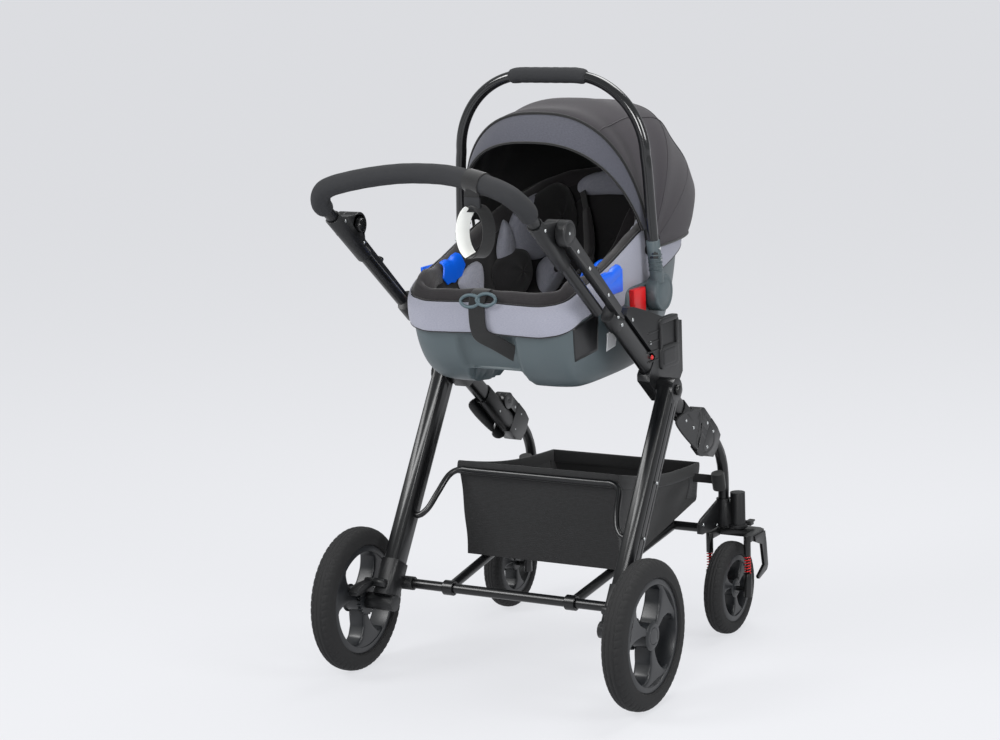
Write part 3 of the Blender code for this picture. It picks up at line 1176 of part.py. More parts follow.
def hood_curve(lean_deg, height, half_width, power, inset, steps):
    """Superellipse hoop in a plane that leans back from the hood's pivot line, right foot to left foot."""
    lean = math.radians(lean_deg)
    height = height - inset
    half_width = half_width - inset
    start = math.asin((HOOD_START / height) ** (power / 2))
    points = []
    for step in range(steps + 1):
        angle = start + (math.pi - 2 * start) * step / steps
        x = math.copysign(abs(math.cos(angle)) ** (2 / power), math.cos(angle)) * half_width
        rise = math.sin(angle) ** (2 / power) * height
        points.append(Vector((x, HOOD_PIVOT_Y + rise * math.sin(lean), HOOD_PIVOT_Z + rise * math.cos(lean))))
    return points


def build_hood(root):
    steps = 16
    rings = []
    for lean, height, half_width, power in HOOD_HOOPS:
        outer = hood_curve(lean, height, half_width, power, 0, steps)
        inner = hood_curve(lean, height, half_width, power, HOOD_THICKNESS, steps)
        rings.append(outer + inner[::-1])
    hood = loft("canopy", rings)
    place(hood, (0, HOOD_PIVOT_Y, HOOD_PIVOT_Z), root, HOOD_GREY, 0.95)

    lean, height, half_width, power = HOOD_HOOPS[1]
    inset = half_width - HOOD_HOOP_X
    curve = hood_curve(lean + 2.5, height - 0.0034, half_width, power, inset, steps)
    foot = Vector((HOOD_HOOP_X, HOOD_PIVOT_Y, HOOD_PIVOT_Z))
    path = [foot] + curve + [Vector((-foot.x, foot.y, foot.z))]
    hoop = sweep("canopy_hoop", path, circle(HOOD_HOOP_RADIUS, 6), (0, 1, 0))
    for hand in (-1, 1):
        lug_inner = (hand * (HOOD_HOOP_X - 0.003), foot.y, foot.z)
        lug_outer = (hand * (HOOD_HOOP_X + 0.003), foot.y, foot.z)
        fuse(hoop, rod("lug", lug_inner, lug_outer, 0.009))
    place(hoop, (0, foot.y, foot.z), root, BLACK_PLASTIC, 0.5)


def main():
    clear_scene()
    root = bpy.data.objects.new("stroller", None)
    root.location = (0, -BOX_CENTRE_Y, 0)
    bpy.context.scene.collection.objects.link(root)
    build_side_frames(root)
    build_adapters(root)
    build_handle_brackets(root)
    build_handle(root)
    build_wrist_strap(root)
    build_rear_legs(root)
    build_axle_housings(root)
    build_brake_pedals(root)
    build_rear_wheels(root)
    build_floor_frame(root)
    build_front_legs(root)
    build_caster_housings(root)
    build_casters(root)
    build_front_wheels(root)
    build_basket(root)
    build_seat_shell(root)
    build_seat_cover(root)
    build_belt_guides(root)
    build_harness(root)
    build_carry_handle(root)
    build_hood(root)


main()
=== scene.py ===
"""Finish of a travel system stroller: coated tubes, moulded joints, foamed tyres, a cloth basket and
a padded infant carrier with its hood. Metres, +Z up, +Y ahead, +X the stroller's right side.
"""
import math

import bmesh
import bpy
import numpy as np
from mathutils import Matrix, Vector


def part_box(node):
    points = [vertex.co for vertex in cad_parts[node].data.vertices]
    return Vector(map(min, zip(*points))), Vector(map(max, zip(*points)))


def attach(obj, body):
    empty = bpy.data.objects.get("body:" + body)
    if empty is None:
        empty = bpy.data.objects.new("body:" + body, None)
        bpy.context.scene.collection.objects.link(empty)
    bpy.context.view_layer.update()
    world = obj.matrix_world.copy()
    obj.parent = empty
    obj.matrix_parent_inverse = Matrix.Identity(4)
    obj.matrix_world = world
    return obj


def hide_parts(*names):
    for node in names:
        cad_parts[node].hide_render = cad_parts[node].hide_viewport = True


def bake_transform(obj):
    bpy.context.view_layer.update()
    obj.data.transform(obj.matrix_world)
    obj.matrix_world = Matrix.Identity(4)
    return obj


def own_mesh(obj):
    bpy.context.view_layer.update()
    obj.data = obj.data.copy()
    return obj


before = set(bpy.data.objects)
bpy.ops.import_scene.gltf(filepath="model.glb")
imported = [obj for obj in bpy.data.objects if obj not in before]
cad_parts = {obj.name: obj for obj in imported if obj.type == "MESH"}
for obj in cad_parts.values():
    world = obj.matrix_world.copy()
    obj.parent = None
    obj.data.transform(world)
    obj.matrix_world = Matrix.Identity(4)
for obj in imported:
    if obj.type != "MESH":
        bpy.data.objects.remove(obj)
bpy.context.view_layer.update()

# Studio
# A seamless pale paper sweep under four soft boxes, one of them low in front, seen by a long lens
# from behind the stroller's right shoulder. The paper reaches past the frame on every side.


def paint(code):
    """Linear colour of an sRGB hex code: c/12.92 below 0.04045, else ((c + 0.055) / 1.055)^2.4."""
    shares = np.array([int(code[start:start + 2], 16) for start in (1, 3, 5)]) / 255
    linear = np.where(shares <= 0.04045, shares / 12.92, ((shares + 0.055) / 1.055) ** 2.4)
    return (*linear.tolist(), 1.0)


def add_node(tree, kind, settings=None, links=None):
    """Add a node; settings go to its own attributes or else its sockets, links feed its sockets."""
    item = tree.nodes.new(kind)
    for name, value in (settings or {}).items():
        if isinstance(name, str) and hasattr(item, name):
            setattr(item, name, value)
        else:
            item.inputs[name].default_value = value
    for name, source in (links or {}).items():
        tree.links.new(source, item.inputs[name])
    return item


def new_material(name):
    """Material with an empty tree and its output; returns (material, tree, output)."""
    surface = bpy.data.materials.new(name)
    surface.use_nodes = True
    surface.node_tree.nodes.clear()
    return surface, surface.node_tree, add_node(surface.node_tree, "ShaderNodeOutputMaterial")


PAPER_GLOW = 0.765
PAPER_SHADE_SHARE = 0.18
PAPER_REACH = 45.0
SKY_STRENGTH = 0.42
LAMP_AIM = (0, 0, 0.6)
# Soft boxes: name, place, width, power.
SOFTBOXES = (("key_softbox", (-2.4, -2.6, 3.2), 1.6, 110), ("side_softbox", (3.2, -0.6, 2.2), 1.4, 60),
             ("top_softbox", (0.3, 1.2, 3.6), 1.8, 70), ("low_front_softbox", (0.7, -2.3, 1.5), 0.8, 24))


def put_in_scene(name, data):
    """New object, linked into the scene."""
    item = bpy.data.objects.new(name, data)
    bpy.context.scene.collection.objects.link(item)
    return item


def build_studio():
    """Paper floor, world light, soft boxes and the camera; the seen paper glows a little. The camera's
    place, turn and lens are fitted to the outlines of the wheels and the frame's straight lines."""
    paper, tree, output = new_material("matte_paper_sweep")
    colour = paint("#e6e7ea")
    shaded = [PAPER_SHADE_SHARE * channel for channel in colour[:3]] + [1.0]
    plain = add_node(tree, "ShaderNodeBsdfDiffuse", {"Color": colour, "Roughness": 1.0})
    shade = add_node(tree, "ShaderNodeBsdfDiffuse", {"Color": shaded})
    glow = add_node(tree, "ShaderNodeEmission", {"Color": paint("#eff0f4"), "Strength": PAPER_GLOW})
    bright = add_node(tree, "ShaderNodeAddShader", None,
                      {0: shade.outputs["BSDF"], 1: glow.outputs["Emission"]})
    ray = add_node(tree, "ShaderNodeLightPath")
    seen = ray.outputs["Is Camera Ray"]
    for kind in ("Is Glossy Ray", "Is Transmission Ray"):
        either = add_node(tree, "ShaderNodeMath", {"operation": "MAXIMUM"},
                          {0: seen, 1: ray.outputs[kind]})
        seen = either.outputs["Value"]
    mixed = add_node(tree, "ShaderNodeMixShader", None,
                     {0: seen, 1: plain.outputs["BSDF"], 2: bright.outputs["Shader"]})
    tree.links.new(mixed.outputs["Shader"], output.inputs["Surface"])
    mesh = bpy.data.meshes.new("studio_floor")
    corners = [(PAPER_REACH * x, PAPER_REACH * y, 0) for x, y in ((-1, -1), (1, -1), (1, 1), (-1, 1))]
    mesh.from_pydata(corners, [], [(0, 1, 2, 3)])
    mesh.materials.append(paper)
    put_in_scene("studio_floor", mesh)

    world = bpy.data.worlds.new("studio_light")
    world.use_nodes = True
    world.node_tree.nodes["Background"].inputs["Color"].default_value = paint("#f4f7f8")
    world.node_tree.nodes["Background"].inputs["Strength"].default_value = SKY_STRENGTH
    bpy.context.scene.world = world
    for name, spot, width, power in SOFTBOXES:
        lamp = bpy.data.lights.new(name, "AREA")
        lamp.size = width
        lamp.energy = power
        item = put_in_scene(name, lamp)
        item.location = spot
        x, y, z = np.array(LAMP_AIM) - np.array(spot)
        item.rotation_euler = (math.atan2(math.hypot(x, y), -z), 0, math.pi + math.atan2(x, -y))

    lens = bpy.data.cameras.new("camera")
    lens.lens = 91.73
    lens.sensor_width = 36
    lens.clip_end = 200
    view = put_in_scene("camera", lens)
    right, up = (0.86702, 0.49693, -0.03650), (-0.06256, 0.18125, 0.98144)
    turn = Matrix((right, up, -np.cross(up, right))).transposed().to_4x4()
    view.matrix_world = Matrix.Translation((2.345, -4.1739, 1.495)) @ turn
    bpy.context.scene.camera = view
    bpy.context.scene.view_settings.view_transform = "Standard"


build_studio()

# Chassis tubes
# Aluminium tube, bent and powder coated satin black: an even coat with a fine orange peel and a
# soft highlight down its length.

AXLE_Y = -0.1979
LINE_START = (-0.1133, 0.711)
LINE_SLOPE = math.radians(40.3)
SIDES = (("r", 1), ("l", -1))


def grain_bump(tree, size, depth):
    """Bump from noise whose cells measure 'size' metres and stand 'depth' metres high."""
    where = add_node(tree, "ShaderNodeTexCoord")
    noise = add_node(tree, "ShaderNodeTexNoise", {"Scale": 0.5 / size, "Detail": 2.0},
                     {"Vector": where.outputs["Object"]})
    return add_node(tree, "ShaderNodeBump", {"Strength": 1.0, "Distance": depth},
                    {"Height": noise.outputs["Fac"]})


def solid_finish(name, code, roughness, grain, depth, worn=0.08, coat=0.0, metallic=0.0):
    """Moulded or coated surface: one colour, a fine grain, and patches a little more or less glossy."""
    surface, tree, output = new_material(name)
    where = add_node(tree, "ShaderNodeTexCoord")
    patches = add_node(tree, "ShaderNodeTexNoise", {"Scale": 14.0, "Detail": 3.0},
                       {"Vector": where.outputs["Object"]})
    gloss = add_node(tree, "ShaderNodeMapRange", {"To Min": roughness - worn, "To Max": roughness + worn},
                     {"Value": patches.outputs["Fac"]})
    darker = [0.86 * channel for channel in paint(code)[:3]] + [1.0]
    tone = add_node(tree, "ShaderNodeMix", {"data_type": "RGBA", 6: darker, 7: paint(code)},
                    {0: patches.outputs["Fac"]})
    bump = grain_bump(tree, grain, depth)
    shader = add_node(tree, "ShaderNodeBsdfPrincipled", {"Metallic": metallic, "Coat Weight": coat},
                      {"Base Color": tone.outputs[2], "Roughness": gloss.outputs["Result"],
                       "Normal": bump.outputs["Normal"]})
    tree.links.new(shader.outputs["BSDF"], output.inputs["Surface"])
    return surface


def surface(grid, around=False, along=False, caps=False):
    """Quads over a grid of points P[i, j]; 'around' closes j, 'along' closes i, caps close both ends.

    The UV map holds metres: u runs with j and v with i, each the mean length along the grid.
    """
    rows, columns = grid.shape[:2]
    index = np.arange(rows * columns).reshape(rows, columns)
    across = np.linalg.norm(np.diff(grid, axis=1, append=grid[:, :1]), axis=2).mean(axis=0)
    down = np.linalg.norm(np.diff(grid, axis=0, append=grid[:1]), axis=2).mean(axis=1)
    u = np.concatenate([[0], np.cumsum(across)])
    v = np.concatenate([[0], np.cumsum(down)])
    last_column = columns if around else columns - 1
    last_row = rows if along else rows - 1
    i, j = np.meshgrid(np.arange(last_row), np.arange(last_column), indexing="ij")
    corners = [(i, j), (i, j + 1), (i + 1, j + 1), (i + 1, j)]
    quads = np.stack([index[a % rows, b % columns] for a, b in corners], -1).reshape(-1, 4)
    places = np.stack([np.stack([u[b], v[a]], -1) for a, b in corners], 2).reshape(-1, 2)
    faces = quads.tolist()
    if caps:
        faces += [index[0, ::-1].tolist(), index[-1].tolist()]
        places = np.concatenate([places, np.zeros((2 * columns, 2))])
    return grid.reshape(-1, 3), faces, places


def placed(item, body=None, node=None):
    """The piece rides on its body and stands for a CAD node, where given."""
    if body:
        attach(item, body)
    if node:
        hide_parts(node)
    return item


def piece(name, body, parts, material, sharp_deg=40, node=None):
    """One object from several surfaces, normals outward, smooth but for edges over the angle."""
    points = np.concatenate([part[0] for part in parts])
    starts = np.cumsum([0] + [len(part[0]) for part in parts[:-1]])
    faces = [[corner + int(start) for corner in face]
             for part, start in zip(parts, starts) for face in part[1]]
    mesh = bpy.data.meshes.new(name)
    mesh.from_pydata(points.tolist(), [], faces)
    layer = mesh.uv_layers.new(name="UVMap")
    layer.data.foreach_set("uv", np.concatenate([part[2] for part in parts]).astype(np.float32).ravel())
    draft = bmesh.new()
    draft.from_mesh(mesh)
    bmesh.ops.recalc_face_normals(draft, faces=draft.faces)
    draft.to_mesh(mesh)
    draft.free()
    mesh.shade_smooth()
    mesh.set_sharp_from_angle(angle=math.radians(sharp_deg))
    mesh.materials.append(material)
    return placed(put_in_scene(name, mesh), body, node)


def thicken(item, thickness, offset=-1.0):
    """Give a sheet piece its wall."""
    wall = item.modifiers.new("wall", "SOLIDIFY")
    wall.thickness = thickness
    wall.offset = offset


def smooth_line(knots, count, closed=False):
    """Catmull-Rom curve through the knots, resampled at equal steps of its length."""
    knots = np.array(knots, float)
    total = len(knots)
    spans = total if closed else total - 1
    t = np.linspace(0, spans, spans * 24 + 1)
    span = np.minimum(t.astype(int), spans - 1)
    share = (t - span)[:, None]

    def knot(shift):
        spot = (span + shift) % total if closed else np.clip(span + shift, 0, total - 1)
        return knots[spot]

    p0, p1, p2, p3 = (knot(shift) for shift in (-1, 0, 1, 2))
    dense = 0.5 * (2 * p1 + (p2 - p0) * share + (2 * p0 - 5 * p1 + 4 * p2 - p3) * share ** 2
                   + (3 * p1 - p0 - 3 * p2 + p3) * share ** 3)
    run = np.concatenate([[0], np.cumsum(np.linalg.norm(np.diff(dense, axis=0), axis=1))])
    goal = np.linspace(0, run[-1], count + 1)[:-1] if closed else np.linspace(0, run[-1], count)
    return np.stack([np.interp(goal, run, dense[:, axis]) for axis in range(dense.shape[1])], -1)


def swept(path, section, up=(0, 0, 1), closed=False, fixed=False):
    """Carry a section (side, height) along a path; its height axis starts at 'up' and is carried on,
    or is taken from 'up' afresh at each point where it is fixed."""
    path = np.asarray(path, float)
    if closed:
        tangent = np.roll(path, -1, axis=0) - np.roll(path, 1, axis=0)
    else:
        tangent = np.gradient(path, axis=0)
    tangent /= np.linalg.norm(tangent, axis=1, keepdims=True)
    height = np.array(up, float)
    heights = []
    for direction in tangent:
        height = np.array(up, float) if fixed else height
        height = height - direction * height.dot(direction)
        height /= np.linalg.norm(height)
        heights.append(height)
    heights = np.array(heights)
    sides = np.cross(tangent, heights)
    section = np.asarray(section, float)
    if section.ndim == 2:
        section = np.broadcast_to(section, (len(path), *section.shape))
    grid = path[:, None] + sides[:, None] * section[..., :1] + heights[:, None] * section[..., 1:]
    return surface(grid, around=True, along=closed, caps=not closed)


def full_turn(count):
    """Evenly spaced angles round a full turn."""
    return np.linspace(0, 2 * np.pi, count, endpoint=False)


def turned(profile, centre, sides, closed=False, hand=1):
    """Turn a profile of (radius, offset) round the x axis through the centre; the offset runs
    outward on the right side, and on the left side where the hand is -1."""
    profile = np.array(profile, float)
    radius, offset = profile[:, :1], hand * np.broadcast_to(profile[:, 1:], (len(profile), sides))
    angle = full_turn(sides)
    grid = np.stack([offset, radius * np.cos(angle), radius * np.sin(angle)], -1) + np.array(centre)
    return surface(grid, around=True, along=closed, caps=not closed)


def squircle(angle, power):
    """Unit superellipse |u|^p + |v|^p = 1."""
    c, s = np.cos(angle), np.sin(angle)
    return np.sign(c) * np.abs(c) ** (2 / power), np.sign(s) * np.abs(s) ** (2 / power)


def round_section(radius, sides=32):
    """Points on a circle."""
    angle = full_turn(sides)
    return np.stack([radius * np.cos(angle), radius * np.sin(angle)], -1)


def box_section(width, height, power=5.0, sides=40):
    """Box with rounded corners, a stretched superellipse."""
    u, v = squircle(full_turn(sides), power)
    return np.stack([width / 2 * u, height / 2 * v], -1)


def scaled(section, scales):
    """The section at a scale for each point of its path."""
    return section[None] * np.array(scales, float)[:, None, None]


def from_ends(line):
    """Each point's count of steps from the nearer end of its line."""
    steps = np.arange(len(line))
    return np.minimum(steps, steps[::-1])


def from_axle(along, z):
    """Side-view point (y, z) at a distance ahead of the rear axle."""
    return AXLE_Y + along, z


def on_line(along, above):
    """Side-view point (y, z) at a distance down the chassis tube line and a height square to it."""
    y = LINE_START[0] + along * math.cos(LINE_SLOPE) + above * math.sin(LINE_SLOPE)
    z = LINE_START[1] - along * math.sin(LINE_SLOPE) + above * math.cos(LINE_SLOPE)
    return y, z


# Satin black: a soft highlight runs down each tube, broken by a fine orange peel.
coated_tube = solid_finish("powder_coated_aluminium_satin_black", "#0c0d0f", 0.30, 0.0011,
                           0.00005, 0.04)


def softened(node_name, body, width, material, limit_deg=38):
    """Copy of a CAD solid with its facets merged and its edges rolled over, standing for the node."""
    mesh = bpy.data.objects[node_name].data.copy()
    draft = bmesh.new()
    draft.from_mesh(mesh)
    bmesh.ops.remove_doubles(draft, verts=draft.verts, dist=0.00002)
    bmesh.ops.dissolve_limit(draft, angle_limit=math.radians(1.0), verts=draft.verts, edges=draft.edges)
    draft.to_mesh(mesh)
    draft.free()
    mesh.shade_smooth()
    mesh.materials.clear()
    mesh.materials.append(material)
    item = put_in_scene(node_name + "_finish", mesh)
    edge = item.modifiers.new("rolled_edge", "BEVEL")
    edge.width = width
    edge.segments = 2
    edge.limit_method = "ANGLE"
    edge.angle_limit = math.radians(limit_deg)
    edge.harden_normals = True
    return placed(item, body, node_name)


def build_tubes():
    """Oval side tubes, softened legs, round cross tubes, floor frame with its sleeves, basket hoop."""
    for side, hand in SIDES:
        path = [(hand * 0.218, *on_line(along, 0)) for along in (-0.005, 0.18, 0.3757)]
        tube = swept(path, box_section(0.022, 0.038, 2.6, 48), (0, 0.6, 0.8))
        piece("side_tube_" + side, "push_frame", [tube], coated_tube, node="lower_tube_" + side)
        softened("rear_leg_" + side, "rear_frame", 0.0012, coated_tube, 50)
        softened("front_leg_" + side, "front_frame", 0.0010, coated_tube, 50)

    rear, front = from_axle(0.056, 0.166), from_axle(0.455, 0.222)
    bar = swept([(x, *rear) for x in (-0.2352, 0, 0.2352)], round_section(0.0095))
    piece("rear_cross_bar", "rear_frame", [bar], coated_tube, node="rear_cross_tube")

    parts = [swept([(x, *front) for x in (-0.208, 0, 0.208)], round_section(0.009))]
    sleeve = [(0.0100, -0.011), (0.0135, -0.011), (0.0145, -0.010), (0.0145, 0.010), (0.0135, 0.011),
              (0.0100, 0.011)]
    for hand in (-1, 1):
        parts.append(swept([(hand * 0.133, *rear), (hand * 0.150, *front)], round_section(0.0095)))
        parts.append(turned(sleeve, (hand * 0.133, *rear), 40, closed=True))
    piece("floor_rails", "floor_frame", parts, coated_tube, node="floor_frame")

    bends = ((0.2302, 0.098, 0.292), (0.220, 0.098, 0.292), (0.206, 0.108, 0.306), (0.196, 0.128, 0.332),
             (0.186, 0.158, 0.362), (0.165, 0.170, 0.372), (0.125, 0.170, 0.372))
    knots = [(x, *from_axle(along, z)) for x, along, z in bends]
    knots += [(-x, y, z) for x, y, z in reversed(knots)]
    piece("basket_hoop_bar", "rear_frame", [swept(smooth_line(knots, 90), round_section(0.006, 20))],
          coated_tube, node="basket_hoop")


build_tubes()

# Push handle
# One bent round tube, its top wrapped in a black closed-cell foam sleeve; a webbing wrist loop is
# sewn round it. The foam is skinned, matte and slightly wavy.

WRIST_LOOP_X = 0.118

# Reads as dry skinned foam: dark, matte, with a faint uneven grain and no sharp highlight.
foam_black = solid_finish("skinned_closed_cell_foam_black", "#222326", 0.84, 0.0016, 0.00025, 0.06)
# Plain bare white paper under a thin film, a small bright spot on the black loop.
tag_white = solid_finish("coated_paper_tag_white", "#e9eae6", 0.55, 0.0020, 0.00003, 0.03)


def woven(name, low_code, high_code, thread, patch, depth, sheen=0.25, roughness=0.92, thread_gap_shade=0.5):
    """Woven or knitted cloth on its UV map, in metres: threads cross as |sin u| and |sin v|, and the
    yarn is mottled between two colours in patches longer along one way than the other. Painted shade
    darkens the gaps between threads and a painted highlight lightens their tops, as strong as the last
    argument."""
    cloth, tree, output = new_material(name)
    where = add_node(tree, "ShaderNodeUVMap").outputs["UV"]
    warp, weft = (add_node(tree, "ShaderNodeTexWave", {"wave_type": "BANDS", "bands_direction": axis,
                                                       "Scale": 0.314 / thread}, {"Vector": where})
                  for axis in ("X", "Y"))
    cross = add_node(tree, "ShaderNodeMath", {"operation": "MULTIPLY"},
                     {0: warp.outputs["Fac"], 1: weft.outputs["Fac"]})
    stretch = add_node(tree, "ShaderNodeMapping", {"Scale": (0.5 / patch, 1.6 / patch, 1.0)},
                       {"Vector": where})
    mottle = add_node(tree, "ShaderNodeTexNoise", {"Scale": 1.0, "Detail": 4.0, "Roughness": 0.75},
                      {"Vector": stretch.outputs["Vector"]})
    spread = add_node(tree, "ShaderNodeMapRange", {"From Min": 0.34, "From Max": 0.66},
                      {"Value": mottle.outputs["Fac"]})
    yarn = add_node(tree, "ShaderNodeMix", {"data_type": "RGBA", 6: paint(low_code), 7: paint(high_code)},
                    {0: spread.outputs["Result"]})
    # Painted shade in the gaps between threads and a painted highlight on their tops.
    shade = add_node(tree, "ShaderNodeMapRange", {"To Min": 1.0 - thread_gap_shade, "To Max": 1.0 + 0.25 * thread_gap_shade},
                     {"Value": cross.outputs["Value"]})
    tone = add_node(tree, "ShaderNodeMix", {"data_type": "RGBA", "blend_type": "MULTIPLY", 0: 1.0},
                    {6: yarn.outputs[2], 7: shade.outputs["Result"]})
    bump = add_node(tree, "ShaderNodeBump", {"Strength": 0.9, "Distance": depth},
                    {"Height": cross.outputs["Value"]})
    shader = add_node(tree, "ShaderNodeBsdfPrincipled",
                      {"Roughness": roughness, "Sheen Weight": sheen, "Sheen Roughness": 0.5},
                      {"Base Color": tone.outputs[2], "Normal": bump.outputs["Normal"]})
    tree.links.new(shader.outputs["BSDF"], output.inputs["Surface"])
    return cloth


# A visible rib across the strap; the real rib is finer and is drawn coarser to be seen.
webbing_black = woven("woven_webbing_black", "#141415", "#1d1d1f", 0.0022, 0.0030, 0.00012)


def handle_line():
    """Centre line of the handle: straight up from each bracket, then a shallow bow over the top."""
    top = 0.997
    knots = [(0.209, *on_line(along, -0.0135)) for along in (-0.036, -0.16, -0.330)]
    knots += [(x, AXLE_Y - back, top - drop) for x, back, drop in
              ((0.210, 0.205, 0.055), (0.186, 0.222, 0.028), (0.130, 0.212, 0.012),
               (0.060, 0.195, 0.002), (0.0, 0.188, 0.0))]
    knots += [(-x, y, z) for x, y, z in reversed(knots[:-1])]
    return smooth_line(knots, 260)


def build_push_handle():
    """Tube, foam sleeve with a seam line, and the webbing wrist loop with its slider and blank tag."""
    path = handle_line()
    piece("push_tube", "handlebar", [swept(path, round_section(0.011, 28), (1, 0, 0))], coated_tube,
          node="handlebar_tube")

    held = path[path[:, 2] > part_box("handle_foam")[0][2] + 0.012]
    swell = 0.018 - 0.0035 * np.exp(-from_ends(held) / 1.2)
    angle = full_turn(40)
    seam = 1 - 0.035 * np.exp(-((angle - 4.6) / 0.09) ** 2)
    wave = 1 + 0.006 * np.sin(np.arange(len(held))[:, None] * 0.9 + 3 * np.sin(angle))
    section = round_section(1.0, 40)[None] * (swell[:, None] * seam * wave)[..., None]
    piece("foam_sleeve", "handlebar", [swept(held, section, (1, 0, 0))], foam_black, 60,
          node="handle_foam")

    spot = int(np.argmin(np.abs(path[:, 0] - WRIST_LOOP_X)))
    x, y, z = path[spot]

    def hanging(drops):
        """Points straight below the handle's back."""
        return [(x, y - 0.0165, z - drop) for drop in drops]

    def oval(turn, out, back):
        """Part of the hanging loop's oval, moved out along x and back from the handle."""
        return np.stack([x + out + 0.027 * np.sin(turn), y - back - 0.003 * np.cos(turn),
                         z - 0.084 - 0.044 * np.cos(turn)], -1)

    wrap = swept(path[spot - 4:spot + 5], box_section(0.0412, 0.0412, 2.0, 40), (1, 0, 0))
    neck = swept(hanging((0.010, 0.022, 0.034, 0.050)), box_section(0.0030, 0.026, 6.0, 24), (1, 0, 0))
    turn = full_turn(90)
    ring = swept(oval(turn, 0.004, 0.0165), box_section(0.0022, 0.024, 6.0, 24), (0.6, 0.8, 0),
                 closed=True, fixed=True)
    piece("wrist_loop", "handlebar", [wrap, neck, ring], webbing_black, node="wrist_strap")
    clasp = scaled(box_section(0.0070, 0.032, 5.0, 28), (0.92, 1.0, 1.0, 0.92))
    slider = swept(hanging((0.024, 0.026, 0.042, 0.044)), clasp, (1, 0, 0))
    piece("wrist_loop_slider", "handlebar", [slider], foam_black, 50)
    tag_line = oval(turn[(turn > 3.5) & (turn < 5.9)], 0.0060, 0.0181)
    tag = swept(tag_line, box_section(0.0012, 0.026, 6.0, 24), (0.6, 0.8, 0), fixed=True)
    piece("blank_wrist_tag", "handlebar", [tag], tag_white, 60)


build_push_handle()

# Moulded joints
# Glass-filled nylon, injection moulded in black with a fine spark-eroded grain: the folding hubs,
# their brackets, the lower fold joints, the seat adapters, axle and caster housings and pedals.
# Domed steel rivets hold them.

# Bright small glints, so that the rivet heads stand out against the black mouldings.
plated_steel = solid_finish("zinc_plated_steel", "#c9cccd", 0.28, 0.0006, 0.00002, 0.05, metallic=1.0)
# A dull broad sheen with fine spark-eroded grain, so that edges show against black tube.
nylon = solid_finish("glass_filled_nylon_moulded_black", "#111214", 0.44, 0.0009, 0.00012, 0.06)
# Tighter highlights than the grained mouldings: buttons and yokes look polished by use.
nylon_gloss = solid_finish("polished_nylon_black", "#0d0e0f", 0.28, 0.0012, 0.00004, 0.04)
# Small satin red pins and push buttons, seen at once beside the dark mouldings.
button_red = solid_finish("moulded_abs_red", "#d00a10", 0.34, 0.0012, 0.00004, 0.04)


RIVET_HEIGHT = 0.0016


def rivet_heads(name, body, radius, hand, spots):
    """Domed heads at (x, y, z, 1 outward or -1 inward): offset = height * (1 - (r / R)^2)^0.5."""
    shares = np.sin(np.linspace(0.06, np.pi / 2, 7))[::-1]
    dome = [(radius * 0.98, -0.001)]
    dome += [(radius * share, RIVET_HEIGHT * math.sqrt(max(0.0, 1 - share * share))) for share in shares]
    piece(name, body, [turned(dome, (hand * x, y, z), 20, hand=hand * out) for x, y, z, out in spots],
          plated_steel, 60)


def rounded_block(low, high, power, hand=1):
    """Superellipsoid |x|^p + |y|^p + |z|^p = 1 between two corners, their y measured from the rear
    axle: a block with rolled edges, on the stroller's right or left side."""
    (x0, x1), (y0, y1) = sorted((hand * low[0], hand * high[0])), (AXLE_Y + low[1], AXLE_Y + high[1])
    low, high = np.array([x0, y0, low[2]]), np.array([x1, y1, high[2]])
    tilt = np.linspace(-np.pi / 2 + 0.02, np.pi / 2 - 0.02, 20)[:, None]
    turn = full_turn(40)[None, :]
    shape = [np.cos(tilt) * np.cos(turn), np.cos(tilt) * np.sin(turn), np.sin(tilt) + 0 * turn]
    shape = [np.sign(value) * np.abs(value) ** (2 / power) for value in shape]
    return surface(np.stack(shape, -1) * (high - low) / 2 + (high + low) / 2, around=True, caps=True)


HUB = on_line(-0.257, 0.014)
SOFTENED_JOINTS = (("hub_lower", "push_frame"), ("fold_joint_upper", "push_frame"),
                   ("seat_adapter", "push_frame"), ("hub_upper", "handlebar"),
                   ("axle_housing", "rear_frame"), ("caster_housing", "front_frame"))
SOFTENED_LEVERS = (("brake_pedal", "brake_pedal_", nylon), ("swivel_lock", "swivel_lock_", nylon),
                   ("fold_slider", "fold_slider_", nylon), ("hub_button", "hub_button_", nylon_gloss),
                   ("yoke", "caster_", nylon_gloss), ("carrier", "axle_carrier_", nylon_gloss))
